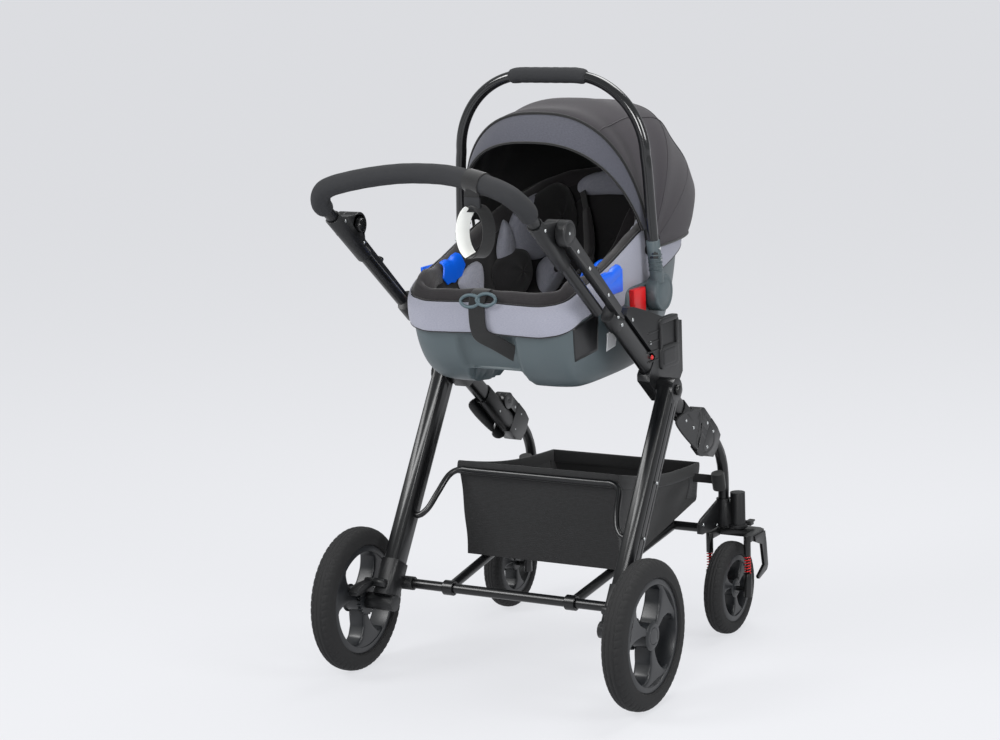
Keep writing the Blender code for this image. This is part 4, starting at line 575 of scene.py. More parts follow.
# Rivets: name, the body they ride on, radius, and (x, y, z, 1 outward or -1 inward) for each head.
RIVETS = (
    ("bracket_rivets_", "push_frame", 0.0036,
     [(0.2390, *HUB, 1), (0.2361, *on_line(-0.205, 0.009), 1), (0.2361, *on_line(-0.150, 0.008), 1),
      (0.2361, *on_line(-0.060, 0.008), 1), (0.2318, *on_line(0.004, 0.0), 1),
      (0.2318, *on_line(0.026, -0.004), 1)]),
    ("hub_rivets_", "handlebar", 0.0034,
     [(0.2212, *on_line(-0.305, -0.012), 1), (0.1962, *on_line(-0.300, -0.006), -1),
      (0.1962, *on_line(-0.225, -0.004), -1)]),
    ("joint_rivets_", "push_frame", 0.0034,
     [(0.2318, *from_axle(0.391, 0.4394), 1), (0.2312, *from_axle(0.360, 0.460), 1),
      (0.2302, *on_line(0.060, 0.027), 1), (0.2302, *on_line(0.150, 0.030), 1),
      (0.2056, *from_axle(0.3962, 0.4401), -1)]),
    ("front_joint_rivets_", "front_frame", 0.0034,
     [(0.2318, *from_axle(0.4539, 0.4363), 1), (0.2318, *from_axle(0.4789, 0.4148), 1),
      (0.2318, *from_axle(0.4500, 0.3887), 1), (0.2056, *from_axle(0.4582, 0.4361), -1),
      (0.2056, *from_axle(0.4819, 0.4167), -1), (0.2056, *from_axle(0.4549, 0.3907), -1)]),
    ("leg_rivets_", "rear_frame", 0.0032,
     [(0.2674, *from_axle(0.050, 0.217), 1), (0.2674, *from_axle(0.156, 0.385), 1),
      (0.2674, *from_axle(0.098, 0.292), 1)]),
    ("caster_rivets_", "front_frame", 0.0034,
     [(0.2150, *from_axle(0.4605, 0.2269), 1), (0.2150, *from_axle(0.5240, 0.2110), 1),
      (0.2345, *from_axle(0.545, 0.2500), 1), (0.2345, *from_axle(0.545, 0.2580), 1)]))
# Blocks round the adapter's slot: low corner, high corner, squareness.
ADAPTER_BLOCKS = [((0.2190, 0.2530, 0.6655), (0.2352, 0.3320, 0.6760), 5.0),
                  ((0.2190, 0.2530, 0.5780), (0.2352, 0.3320, 0.6230), 7.0),
                  ((0.2190, 0.2530, 0.6180), (0.2348, 0.2600, 0.6700), 6.0),
                  ((0.2190, 0.3210, 0.6180), (0.2348, 0.3320, 0.6700), 6.0),
                  ((0.2270, 0.2600, 0.5860), (0.2364, 0.3150, 0.6160), 8.0)]
ADAPTER_BLOCKS += [((0.2060, 0.2040, z), (0.2322, 0.2560, z + 0.0035), 6.0)
                   for z in 0.600 + 0.018 * np.arange(4)]
# Outlines of the fold joint's cheek plates, as (distance ahead of the rear axle, height).
CHEEKS = (
    ("upper", "push_frame", ((0.3163, 0.4632), (0.3600, 0.4778), (0.3792, 0.4750), (0.4036, 0.4767),
                             (0.4300, 0.4607), (0.4100, 0.4068), (0.3992, 0.3960))),
    ("lower", "front_frame", ((0.4395, 0.4576), (0.4600, 0.4460), (0.4846, 0.4113), (0.4783, 0.3841),
                              (0.4327, 0.3740), (0.4045, 0.3874), (0.4171, 0.4058))))


def build_joints():
    """Rolled-edge copies of the moulded joints, with knurls, hub drums, cheeks and rivets."""
    for side, hand in SIDES:
        for name, body in SOFTENED_JOINTS:
            softened(name + "_" + side, body, 0.0011, nylon, 42)
        for name, body, finish in SOFTENED_LEVERS:
            softened(name + "_" + side, body + side, 0.0007, finish, 42)
        for name, body, radius, spots in RIVETS:
            rivet_heads(name + side, body, radius, hand, spots)
        cap = ((0.0002, 0.0036), (0.006, 0.0034), (0.0095, 0.0022), (0.0102, 0.0))
        piece("leg_pivot_cap_" + side, "push_frame",
              [turned(cap, (hand * 0.2691, *on_line(0.2387, -0.018)), 32, hand=hand)], nylon_gloss, 60)

        for label, low, high, body in (("inner", 0.1960, 0.2205, "handlebar"),
                                       ("outer", 0.2222, 0.2395, "push_frame")):
            drum = [(0.0225, low), (0.0238, low + 0.0013), (0.0238, high - 0.0013), (0.0225, high)]
            if label == "inner":
                drum = [(0.0150, low), *drum, (0.0150, high)]
            else:
                drum = [(0.0002, low), *drum, (0.0185, high), (0.0178, high - 0.0007), (0.0170, high),
                        (0.0002, high + 0.0004)]
            piece("hub_drum_" + label + "_" + side, body,
                  [turned(drum, (0, *HUB), 64, closed=label == "inner", hand=hand)], nylon)

        piece("adapter_housing_" + side, "push_frame",
              [rounded_block(low, high, power, hand) for low, high, power in ADAPTER_BLOCKS], nylon, 45)
        release = ((0.0042, 0.0), (0.0040, 0.0022), (0.0030, 0.0030), (0.0002, 0.0032))
        pin = turned(release, (hand * 0.2302, *from_axle(0.2198, 0.6096)), 28, hand=hand)
        piece("adapter_release_pin_" + side, "push_frame", [pin], button_red, 50)

        for label, body, outline in CHEEKS:
            edge = smooth_line([from_axle(*spot) for spot in outline], 60, closed=True)
            centre = edge.mean(axis=0)
            rows = [np.concatenate([np.full((60, 1), hand * x), centre + (edge - centre) * scale], axis=1)
                    for scale, x in ((1.0, 0.2285), (1.0, 0.2312), (0.96, 0.2322), (0.84, 0.2322),
                                     (0.82, 0.2316), (0.5, 0.2316), (0.02, 0.2316))]
            piece("fold_joint_cheek_" + label + "_" + side, body,
                  [surface(np.array(rows), around=True, caps=True)], nylon, 20)

        flutes = round_section(1.0, 96) * (1 + 0.035 * np.cos(full_turn(96) * 16))[:, None]
        stretch = [(hand * 0.22885, *on_line(-0.119, above))
                   for above in (0.0212, 0.0218, 0.0270, 0.0280, 0.0283)]
        knurl = scaled(flutes, (0.0064, 0.0070, 0.0070, 0.0064, 0.0030))
        piece("slider_knurl_" + side, "fold_slider_" + side, [swept(stretch, knurl, (1, 0, 0))],
              nylon_gloss, 50)
        groove = ((0.0128, 0.0010), (0.0118, -0.0006), (0.0104, -0.0006), (0.0100, 0.0), (0.0094, 0.0),
                  (0.0090, -0.0008), (0.0002, -0.0014))
        piece("hub_button_face_" + side, "hub_button_" + side,
              [turned(groove, (hand * 0.1897, *HUB), 40, hand=hand)], nylon_gloss, 30)


build_joints()

# Wheels
# Foamed rubber tyres, their tread cut by a zigzag groove, on dark grey moulded rims: a barrel, a hub
# cap and three broad, square-walled spokes flush with it. A toothed brake ring sits behind each rear
# hub.

# Nearly no highlight, a dusty dark grey that lets the tread's cuts read as shadow.
tyre_rubber = solid_finish("foamed_rubber_matte_black", "#19191a", 0.82, 0.0020, 0.00022, 0.05)
# Slate grey face with a soft sheen; the windows' walls catch a long highlight.
rim_nylon = solid_finish("moulded_nylon_rim_black", "#1f2124", 0.36, 0.0010, 0.00008, 0.06)


def tread(centre, radius, width, bore, pattern_count):
    """Tyre ring: r = bore + rise * sin(a)^0.6, less a zigzag groove between two plain ones and the
    slanted cuts of its shoulders."""
    a = np.linspace(0, np.pi, 57)[:, None]
    turn = full_turn(pattern_count * 8)[None, :]
    across = -np.sign(np.cos(a)) * np.abs(np.cos(a)) ** 0.75
    profile = bore + 0.003 + (radius - bore - 0.003) * np.maximum(np.sin(a), 0) ** 0.6
    zigzag = 0.075 * (np.abs((turn * pattern_count / (2 * np.pi)) % 1.0 * 2 - 1) - 0.5)
    grooves = sum(np.exp(-((across - spot - zigzag * (spot == 0)) / 0.055) ** 2)
                  for spot in (-0.36, 0.0, 0.36))
    slant = (turn * pattern_count / (2 * np.pi) + 0.7 * np.abs(across)) % 1.0
    cuts = np.exp(-((slant - 0.5) / 0.13) ** 2) * np.clip((np.abs(across) - 0.34) / 0.08, 0, 1)
    cuts = cuts * np.clip((0.93 - np.abs(across)) / 0.06, 0, 1)
    ridge = 0.0008 * np.exp(-((np.abs(across) - 0.965) / 0.012) ** 2)
    r = profile - 0.0016 * np.maximum(grooves, cuts) + ridge
    x = width / 2 * across + 0 * turn
    outer = np.stack([x, r * np.cos(turn), r * np.sin(turn)], -1)
    inner_x = np.array([0.84, -0.84])[:, None] * width / 2 + 0 * turn
    inner = np.stack([inner_x, bore * np.cos(turn) + 0 * inner_x, bore * np.sin(turn) + 0 * inner_x], -1)
    return surface(np.concatenate([outer, inner]) + np.array(centre), around=True, along=True)


def rim_parts(centre, radius, width, hub, back, face, hand):
    """Barrel, hub cap from its back to its face, and three spokes that widen towards the barrel; a
    spoke's section is (|cos a|^0.30, |sin a|^0.22), which makes its walls nearly square."""
    half = width / 2
    wall = radius - 0.0115
    barrel = [(wall, -half), (radius - 0.0015, -half), (radius, -half + 0.001), (radius, half - 0.001),
              (radius - 0.0015, half), (wall + 0.0008, half), (wall, half - 0.0015)]
    cap = [(0.0002, back), (hub - 0.002, back), (hub, back + 0.002), (hub, half - 0.005),
           (hub + 0.004, half - 0.002), (hub + 0.001, face - 0.001), (hub - 0.003, face),
           (hub * 0.72, face), (hub * 0.68, face - 0.0008), (hub * 0.64, face),
           (hub * 0.30, face + 0.0004), (0.0002, face + 0.0006)]
    parts = [turned(barrel, centre, 128, closed=True, hand=hand), turned(cap, centre, 96, hand=hand)]
    share = np.linspace(0, 1, 26)[:, None]
    radii = hub * 0.8 + (wall + 0.002 - hub * 0.8) * share
    relative = radii[:, 0] / radius
    low_edge = np.interp(relative, [0.2, 0.247, 0.50, 0.70, 0.82, 0.89], [136, 138, 143, 138, 131, 122])
    high_edge = np.interp(relative, [0.2, 0.33, 0.60, 0.82, 0.89], [170, 168, 174, 182, 192])
    middle = np.radians((low_edge + high_edge) / 2)[:, None]
    spread = np.radians((high_edge - low_edge) / 2)[:, None]
    c, s = np.cos(full_turn(36))[None, :], np.sin(full_turn(36))[None, :]
    flat = np.sign(c) * np.abs(c) ** 0.30
    thick = np.sign(s) * np.abs(s) ** 0.22
    dish = 0.0010 * np.sin(np.pi * share) ** 0.8
    x = 0.05 * half - 0.0008 - dish + 0.94 * half * thick
    for spoke in range(3):
        turn = middle + spread * flat + 2 * np.pi * spoke / 3
        grid = np.stack([hand * x + 0 * turn, radii * np.cos(turn), radii * np.sin(turn)], -1)
        parts.append(surface(grid + np.array(centre), around=True, caps=True))
    return parts


def brake_ring(hand):
    """Ring of 24 teeth behind a rear hub: r = 0.026 + 0.004 * a cosine clipped flat, top and bottom."""
    teeth = full_turn(24 * 8)
    lobes = np.clip(1.6 * (0.5 - 0.5 * np.cos(teeth * 24)) - 0.3, 0, 1)
    ring = round_section(1.0, 24 * 8) * (0.026 + 0.004 * lobes)[:, None]
    section = scaled(ring, (0.97, 1.0, 1.0, 0.97))[..., ::-1] * np.array([-1, hand])
    return swept([(hand * x, AXLE_Y, 0.140) for x in (0.2842, 0.2848, 0.2912, 0.2919)], section)


# Wheel: name, centre, then tyre radius, width, bore and count of cuts, then rim radius, width, hub
# radius and the hub's back and face.
WHEELS = (("rear", (0.311, 0.0, 0.140), (0.140, 0.045, 0.1053, 58),
           (0.105, 0.038, 0.023, -0.0265, 0.0205)),
          ("front", (0.251, 0.497, 0.093), (0.093, 0.036, 0.0673, 44),
           (0.067, 0.032, 0.015, -0.0158, 0.0170)))


def build_wheels():
    """Two rear wheels with their brake rings and two front wheels."""
    for side, hand in SIDES:
        for end, (x, along, z), tyre, rim in WHEELS:
            centre, body = (hand * x, *from_axle(along, z)), end + "_wheel_" + side
            piece(end + "_tread_" + side, body, [tread(centre, *tyre)], tyre_rubber, 45,
                  node=end + "_tyre_" + side)
            parts = rim_parts(centre, *rim, hand)
            if end == "rear":
                parts.append(brake_ring(hand))
            piece(end + "_spoked_rim_" + side, body, parts, rim_nylon, 35,
                  node=end + "_rim_" + side)


build_wheels()

# Suspension springs
# A helix of round spring steel wire, powder coated gloss red, on each of a caster's two guide rods;
# on the stroller it shortens as the axle carrier rises, but here each coil is fixed on the caster.

# A saturated red accent between black parts, with small highlights on each turn.
spring_red = solid_finish("powder_coated_spring_steel_red", "#cf0a10", 0.30, 0.0012, 0.00003,
                          0.04, coat=0.2)


def build_springs():
    """Helix: the angle runs at a steady rate while z climbs from the lower seat to the upper one."""
    turns, low, high = 6, 0.1266, 0.1608
    t = np.linspace(0, 1, turns * 24 + 1)
    angle = 2 * np.pi * turns * t
    for side, hand in SIDES:
        for name, offset, node, slot in (("outer", 0.041, "spring_" + side, "spring"),
                                         ("inner", -0.041, None, None)):
            helix = np.stack([hand * (0.251 + offset) + 0.0062 * np.cos(angle),
                              AXLE_Y + 0.497 + 0.0062 * np.sin(angle), low + (high - low) * t], -1)
            coil = piece("red_spring_" + name + "_" + side, "caster_" + side,
                         [swept(helix, round_section(0.0010, 12))], spring_red, node=node)
            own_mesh(coil)


build_springs()

# Shopping basket
# A tub of black woven polyester, hung by its back hem on the steel hoop and by two webbing tabs on
# cuffs round the front legs, with a bound rim, open mesh at its front corners and a stiffened floor.

# Black cloth that still shows its folds; the weave is drawn coarser than real oxford cloth.
oxford_black = woven("woven_polyester_black", "#161617", "#202022", 0.0024, 0.006, 0.00016, 0.15,
                     0.85, 0.35)
# A paler open net beside the black cloth, its holes drawn as painted shade: dark gaps between threads.
mesh_grey = woven("open_mesh_polyester_grey", "#3a3b3d", "#56585a", 0.0030, 0.004, 0.00030, 0.1,
                  0.8, 0.9)


def disc_rows(row, scales, crown=0.0):
    """Rows that shrink a ring towards its middle, raised by the crown at the centre."""
    centre = row.mean(axis=0)
    return [centre + (row - centre) * scale + np.array([0, 0, crown * (1 - scale ** 2)])
            for scale in scales]


def build_basket():
    """Walls between the sloping rim and the slanted floor, bowed out a little and creased."""
    rear_y = AXLE_Y + 0.1765
    share = np.linspace(0, 1, 50)
    end = np.linspace(-1, 1, 44)[1:-1]

    def loop(half, y, z):
        """Closed loop round the tub: right side forward, front, left side back, rear."""
        right = np.stack([half, y, z], -1)
        front = np.stack([-end * half[-1], 0 * end + y[-1], 0 * end + z[-1]], -1)
        back = np.stack([end * half[0], 0 * end + y[0], 0 * end + z[0]], -1)
        return np.concatenate([right, front, right[::-1] * np.array([-1, 1, 1]), back])

    half_rim = 0.1745 - 0.009 * share
    rim = loop(half_rim, rear_y + share * (AXLE_Y + 0.5415 - rear_y),
               0.3745 + share * (0.3195 - 0.3745) - 0.012 * np.sin(np.pi * share))
    low = loop(half_rim - 0.006, (rear_y + 0.010) + share * (AXLE_Y + 0.530 - rear_y - 0.010),
               0.1985 + share * (0.251 - 0.1985))
    middle = np.array([0, *from_axle(0.36, 0.29)])
    spot = np.arange(len(rim))
    rows = []
    for depth in np.linspace(0, 1, 22):
        ring = rim + (low - rim) * depth
        outward = (ring - middle) * np.array([1, 1, 0])
        outward /= np.linalg.norm(outward, axis=1, keepdims=True)
        fold = 0.0016 * np.sin(spot * 0.31 + 4 * depth) + 0.0010 * np.sin(spot * 0.11 + 9 * depth)
        bulge = -0.004 * np.sin(np.pi * depth) + fold * np.sin(np.pi * depth)
        forward = np.clip((ring[:, 1] - (AXLE_Y + 0.47)) / 0.06, 0, 1) ** 2
        swell = np.stack([0 * forward, 0.020 * forward, -0.014 * forward], -1)
        rows.append(ring + swell * math.sin(math.pi * depth ** 1.4) + outward * bulge[:, None])
    walls = np.array(rows)
    shell = np.concatenate([walls, np.array(disc_rows(walls[-1], (0.97, 0.8, 0.5, 0.02)))])
    inward = (middle - shell) * np.array([1, 1, 0])
    inward /= np.maximum(np.linalg.norm(inward, axis=2, keepdims=True), 0.02)
    inner = shell + inward * 0.0016 + np.array([0, 0, 0.0016])
    tub = piece("basket_cloth", "rear_frame",
                [surface(np.concatenate([inner[::-1], shell]), around=True, caps=True)], oxford_black, 60,
                node="basket")
    piece("basket_binding", "rear_frame",
          [swept(walls[0] + np.array([0, 0, 0.0005]), box_section(0.0075, 0.026, 3.0, 24), closed=True)],
          oxford_black, 60)

    cuff = scaled(round_section(1.0, 28), (0.0128, 0.0134, 0.0134, 0.0128))
    for side, hand, corner in (("r", 1, slice(44, 50)), ("l", -1, slice(92, 98))):
        leg = [(hand * 0.220, AXLE_Y + 0.5225 + (0.305 - z) * 0.25, z)
               for z in (0.286, 0.288, 0.318, 0.320)]
        piece("basket_cuff_" + side, "front_frame", [swept(leg, cuff, (1, 0, 0))], webbing_black, 60)
        tab = [(hand * x, *from_axle(along, 0.305))
               for x, along in ((0.160, 0.5225), (0.185, 0.5240), (0.2078, 0.5230))]
        piece("basket_tab_" + side, "rear_frame",
              [swept(smooth_line(tab, 12), box_section(0.0018, 0.018, 4.0, 20))], webbing_black, 60)
        patch = walls[2:16, corner] + np.array([hand * 0.0006, 0, 0])
        thicken(piece("basket_mesh_" + side, "rear_frame", [surface(patch)], mesh_grey, 60), 0.0006)


build_basket()

# Infant carrier shell
# A deep bucket moulded in slate grey polypropylene, its underside split by a channel into two
# rockers, with a boss on each flank for the carry handle's hub and the tongue that drops into the
# chassis adapter.

SEAT_HALF = 0.1845
SEAT_FRONT = AXLE_Y - 0.012
SEAT_HEAD = AXLE_Y + 0.605
PLAN_POINTS = 320
HANDLE_PIVOT = (AXLE_Y + 0.302, 0.720)
# The shell's floor: middle y, half width, half length, z.
SHELL_FLOOR = (AXLE_Y + 0.235, 0.142, 0.125, 0.5675)
CHANNEL_TOP, CHANNEL_HALF, CHANNEL_SLOPE = 0.605, 0.0635, 0.009
SHELL_WALL = 0.0032

# Slate green-grey plastic, half matte, so that the lobes and the channel shade smoothly.
shell_plastic = solid_finish("moulded_polypropylene_slate", "#4b565a", 0.44, 0.0014, 0.00010, 0.05)
# Smooth plain film: a dark panel and a pale one, each with a flat sheen.
film_dark = solid_finish("polyester_label_film_dark", "#17181a", 0.35, 0.0020, 0.00001, 0.02)
film_pale = solid_finish("polyester_label_film_pale", "#d9dadc", 0.35, 0.0020, 0.00001, 0.02)


def carrier_plan():
    """Closed plan of the rim from the foot end's middle round the right side, and outward normals."""
    w, f, h = SEAT_HALF, SEAT_FRONT, SEAT_HEAD
    right = [(0, f + 0.004), (0.075, f), (0.130, f + 0.001), (w - 0.016, f + 0.022),
             (w - 0.004, f + 0.065), (w, f + 0.140), (w, AXLE_Y + 0.270), (w - 0.003, AXLE_Y + 0.360),
             (w - 0.010, AXLE_Y + 0.440), (w - 0.030, AXLE_Y + 0.515), (w - 0.075, h - 0.035),
             (w - 0.135, h - 0.005)]
    knots = right + [(0, h)] + [(-x, y) for x, y in reversed(right[1:])]
    loop = smooth_line(knots, PLAN_POINTS, closed=True)
    run = np.roll(loop, -1, axis=0) - np.roll(loop, 1, axis=0)
    run /= np.linalg.norm(run, axis=1, keepdims=True)
    return loop, np.stack([run[:, 1], -run[:, 0]], -1)


PLAN, PLAN_NORMAL = carrier_plan()
OUTWARD = np.column_stack([PLAN_NORMAL, np.zeros(PLAN_POINTS)])
PLAN_SPOT = np.arange(PLAN_POINTS)


def rim_top(y):
    """Height of the rim over the carrier's length."""
    return np.interp(y - AXLE_Y, [-0.02, 0.05, 0.15, 0.27, 0.40, 0.60, 0.70],
                     [0.732, 0.762, 0.790, 0.832, 0.868, 0.918, 0.94])


def rim_row(inset, drop):
    """Points along the rim, inward by the inset and down by the drop; either may be an array."""
    spot = PLAN - PLAN_NORMAL * np.broadcast_to(inset, PLAN_POINTS)[:, None]
    return np.stack([spot[:, 0], spot[:, 1], rim_top(PLAN[:, 1]) - drop], -1)


def bucket_wall(plan, normal, inset, drop, floor, share):
    """Points on a bucket's wall: they close in as 1 - (1 - share^2.4)^(1/2.4) on a floor given by its
    (middle y, half width, half length, z), while they sink evenly."""
    share = np.asarray(share, float)
    closing = (1 - (1 - np.clip(share, 0, 1) ** 2.4) ** (1 / 2.4))[..., None]
    middle, half = (SEAT_FRONT + SEAT_HEAD) / 2, (SEAT_HEAD - SEAT_FRONT) / 2
    top = plan - normal * inset
    low = np.stack([plan[..., 0] / SEAT_HALF * (floor[1] - inset),
                    floor[0] + (plan[..., 1] - middle) / half * (floor[2] - inset)], -1)
    z = rim_top(plan[..., 1]) - drop
    return np.concatenate([top + (low - top) * closing, (z + (floor[3] - z) * share)[..., None]], -1)


def wall_rows(inset, drop, floor, shares):
    """Rows of a bucket's wall, one for each share of its depth."""
    return [bucket_wall(PLAN, PLAN_NORMAL, inset, drop, floor, share) for share in shares]


def eased(share):
    """Smoothstep 3 s^2 - 2 s^3 of a share held between 0 and 1."""
    share = np.clip(share, 0, 1)
    return share * share * (3 - 2 * share)


def build_carrier_shell():
    """Bucket wall, underside with its channel, two plain panels of film and the flank bosses."""
    rows = [rim_row(0.013, 0.006)] + wall_rows(0.0072, 0.006, SHELL_FLOOR, np.linspace(0, 1, 46) ** 0.8)
    rows += disc_rows(rows[-1], (0.93, 0.8, 0.62, 0.4, 0.2, 0.02))
    grid = np.array(rows)
    side = np.abs(grid[..., 0])
    raised = eased((CHANNEL_HALF - side) / CHANNEL_SLOPE)
    grid[..., 2] += np.maximum(0, CHANNEL_TOP - grid[..., 2]) * raised
    step = np.clip((grid[..., 2] - 0.690) / 0.004, 0, 1) * np.clip((0.698 - grid[..., 2]) / 0.004, 0, 1)
    grid = grid - OUTWARD[None] * (0.0012 * step)[..., None]
    recess = np.clip((0.064 - side) / 0.012, 0, 1) * np.clip((0.684 - grid[..., 2]) / 0.012, 0, 1)
    recess = recess * np.clip((grid[..., 2] - 0.600) / 0.010, 0, 1)
    grid[..., 1] += 0.015 * recess * (grid[..., 1] < AXLE_Y + 0.15)
    thicken(piece("carrier_bucket", "infant_seat", [surface(grid, around=True)], shell_plastic, 50,
                  node="seat_shell"), SHELL_WALL)

    for name, film, low, high, shares in (("blank_dark_label", film_dark, 0.020, 0.112, (0.30, 0.66)),
                                          ("blank_pale_label", film_pale, 0.146, 0.198, (0.56, 0.72))):
        spots = [spot for spot in range(10, 160) if AXLE_Y + low < PLAN[spot, 1] < AXLE_Y + high]
        rows = wall_rows(0.0066, 0.006, SHELL_FLOOR, np.linspace(*shares, 12))
        label = piece(name, "infant_seat", [surface(np.array(rows)[:, spots])], film, 60)
        thicken(label, 0.0004)

    parts = []
    pin = [(0.0002, 0), (0.006, 0), (0.006, 0.0385), (0.0002, 0.0385)]
    for hand in (-1, 1):
        parts += [rounded_block(low, high, power, hand) for low, high, power in (
            ((0.153, 0.2052, 0.672), (0.1945, 0.3355, 0.740), 6.0),
            ((0.153, 0.2725, 0.640), (0.1945, 0.3345, 0.702), 7.0),
            ((0.176, 0.2725, 0.640), (0.2120, 0.3345, 0.664), 7.0))]
        parts.append(turned(pin, (hand * 0.170, *HANDLE_PIVOT), 24, hand=hand))
    piece("carrier_bosses", "infant_seat", parts, shell_plastic, 50)


build_carrier_shell()

# Carrier cover
# A sewn cover: a padded side band in lavender grey heather knit with a black bound seam along its
# top, a padded black lip that rolls over the shell's edge, and a quilted black liner.

# The palest cloth of all: mottled lavender grey with barely visible stitches.
heather_knit = woven("heather_jersey_lavender_grey", "#898a97", "#9b9ca8", 0.0016, 0.0022,
                     0.00008, 0.15, 0.9, 0.08)
# Deep brushed black that keeps the seat's inside dark, with a little mottling.
black_knit = woven("brushed_knit_black", "#121113", "#1b191b", 0.0020, 0.0050, 0.00012, 0.12,
                   0.95, 0.25)
# Brown-black brushed knit, a shade lighter than the liner, so that the rim's roll shows.
lip_knit = woven("brushed_knit_charcoal", "#1d1a1c", "#262225", 0.0020, 0.0040, 0.00012, 0.2,
                 0.92, 0.2)
# Grey velour pads that stand out from the black liner; soft sheen at their edges.
pad_grey = woven("velour_pads_lavender_grey", "#878893", "#9798a3", 0.0020, 0.0050, 0.00008, 0.2,
                 0.95, 0.10)


def band_height(y):
    """Height of the side band: its hem stays nearly level while the rim climbs to the head end."""
    return np.interp(y - AXLE_Y, [0.05, 0.089, 0.156, 0.20, 0.60], [0.055, 0.0586, 0.085, 0.10, 0.12])


def seam_grooves(places, depth):
    """Inward shift along the loop: a narrow valley at each seam place, as a share of the loop."""
    width = 1.6
    shift = np.zeros(PLAN_POINTS)
    for place in places:
        away = np.abs(PLAN_SPOT - place * PLAN_POINTS)
        shift += depth * np.exp(-(np.minimum(away, PLAN_POINTS - away) / width) ** 2)
    return shift


LINER_INSET, LINER_DROP = 0.0335, 0.012
# The liner's floor: middle y, half width, half length, z.
LINER_FLOOR = (AXLE_Y + 0.285, 0.100, 0.115, 0.660)


def build_carrier_cover():
    """Side band, bound seam, lip and liner, each a closed form."""
    y = PLAN[:, 1]
    seams = seam_grooves((0.080, 0.920, 0.30, 0.70), 0.0014)
    knots = [(0.0064, 0.0, 0.90), (0.0060, 0.0, 1.0), (0.0020, 0.0, 1.01), (-0.0006, 0.0, 0.86),
             (-0.0024, 0.0, 0.5), (-0.0012, 0.0, 0.16), (0.0030, -0.0012, 0.0), (0.0068, -0.0010, 0.0),
             (0.0072, 0.004, 0.0)]
    rows = []
    for inset, drop, share in smooth_line(knots, 34):
        ripple = 0.0005 * np.sin(PLAN_SPOT * 0.23) * np.sin(np.pi * min(share, 1.0))
        rows.append(rim_row(inset + ripple + seams * (share < 0.98), drop + share * band_height(y)))
    band = piece("heather_side_band", "infant_seat", [surface(np.array(rows), around=True, along=True)],
                 heather_knit, 60, node="seat_cover")
    for name, line, radius in (("black_bound_seam", rim_row(0.0068, -0.0012), 0.0016),
                               ("band_hem", rim_row(0.0022, band_height(y) * 1.005), 0.0013)):
        piece(name, "infant_seat", [swept(line, round_section(radius, 12), closed=True)],
              webbing_black, 60)

    knots = [(0.0082, 0.0040), (0.0080, -0.0006), (0.0130, -0.0042), (0.0210, -0.0040), (0.0290, 0.0010),
             (0.0335, 0.0090), (0.0345, 0.0220), (0.0290, 0.0240), (0.0180, 0.0120)]
    foot = eased((AXLE_Y + 0.115 - y) / 0.085)
    rows = []
    for inset, drop in smooth_line(knots, 30):
        soft = 0.0011 * np.sin(PLAN_SPOT * 0.19 + 40 * inset) + 0.0007 * np.sin(PLAN_SPOT * 0.47)
        wide = 1 + 0.36 * foot * (inset > 0.010)
        rise = 1 + 4.0 * foot if drop < 0 else 1 - 0.5 * foot
        rows.append(rim_row((inset + 0.3 * soft) * wide, drop * rise + soft * (0.010 < inset < 0.033)))
    lip = piece("padded_lip", "infant_seat", [surface(np.array(rows), around=True, along=True)],
                lip_knit, 60)

    quilt = 0.0010 * np.cos(PLAN_SPOT * 2 * np.pi / 10)
    shares = np.linspace(0, 1, 40)
    inner = [row - OUTWARD * (quilt * math.sin(math.pi * share))[:, None]
             for row, share in zip(wall_rows(LINER_INSET, LINER_DROP, LINER_FLOOR, shares), shares)]
    inner += disc_rows(inner[-1], (0.9, 0.7, 0.5, 0.3, 0.1, 0.01), -0.002)
    outer = wall_rows(0.0260, LINER_DROP, (*LINER_FLOOR[:3], 0.652), np.linspace(0, 1, 30))
    outer += disc_rows(outer[-1], (0.7, 0.3, 0.01))
    liner = piece("quilted_liner", "infant_seat",
                  [surface(np.array(outer[::-1] + inner), around=True, caps=True)], black_knit, 70)


build_carrier_cover()

# Newborn insert
# Loose pads of grey velour and black knit that lie against the liner: a back pad, a head panel with
# two wings, shoulder fins, side, hip and thigh pads and seat wedges, each stuffed and sewn round.


def liner_at(place, share, lift):
    """Point on the liner wall at a share of the loop and of the depth, lifted off along its normal."""
    loop = np.hstack([PLAN, PLAN_NORMAL])
    loop = np.concatenate([loop, loop[:1]])

    def wall(place, share):
        spot = (place % 1.0) * PLAN_POINTS
        line = np.stack([np.interp(spot, np.arange(PLAN_POINTS + 1), values) for values in loop.T], -1)
        return bucket_wall(line[..., :2], line[..., 2:], LINER_INSET, LINER_DROP, LINER_FLOOR,
                           np.clip(share, -0.2, 0.9999))

    here = wall(place, share)
    along = wall(place + 0.004, share) - wall(place - 0.004, share)
    down = wall(place, share + 0.02) - wall(place, share - 0.02)
    normal = np.cross(along, down)
    normal /= np.linalg.norm(normal, axis=-1, keepdims=True)
    inward = np.array([0, *from_axle(0.30, 0.80)]) - here
    normal *= np.sign((normal * inward).sum(-1, keepdims=True))
    return here + normal * lift[..., None]


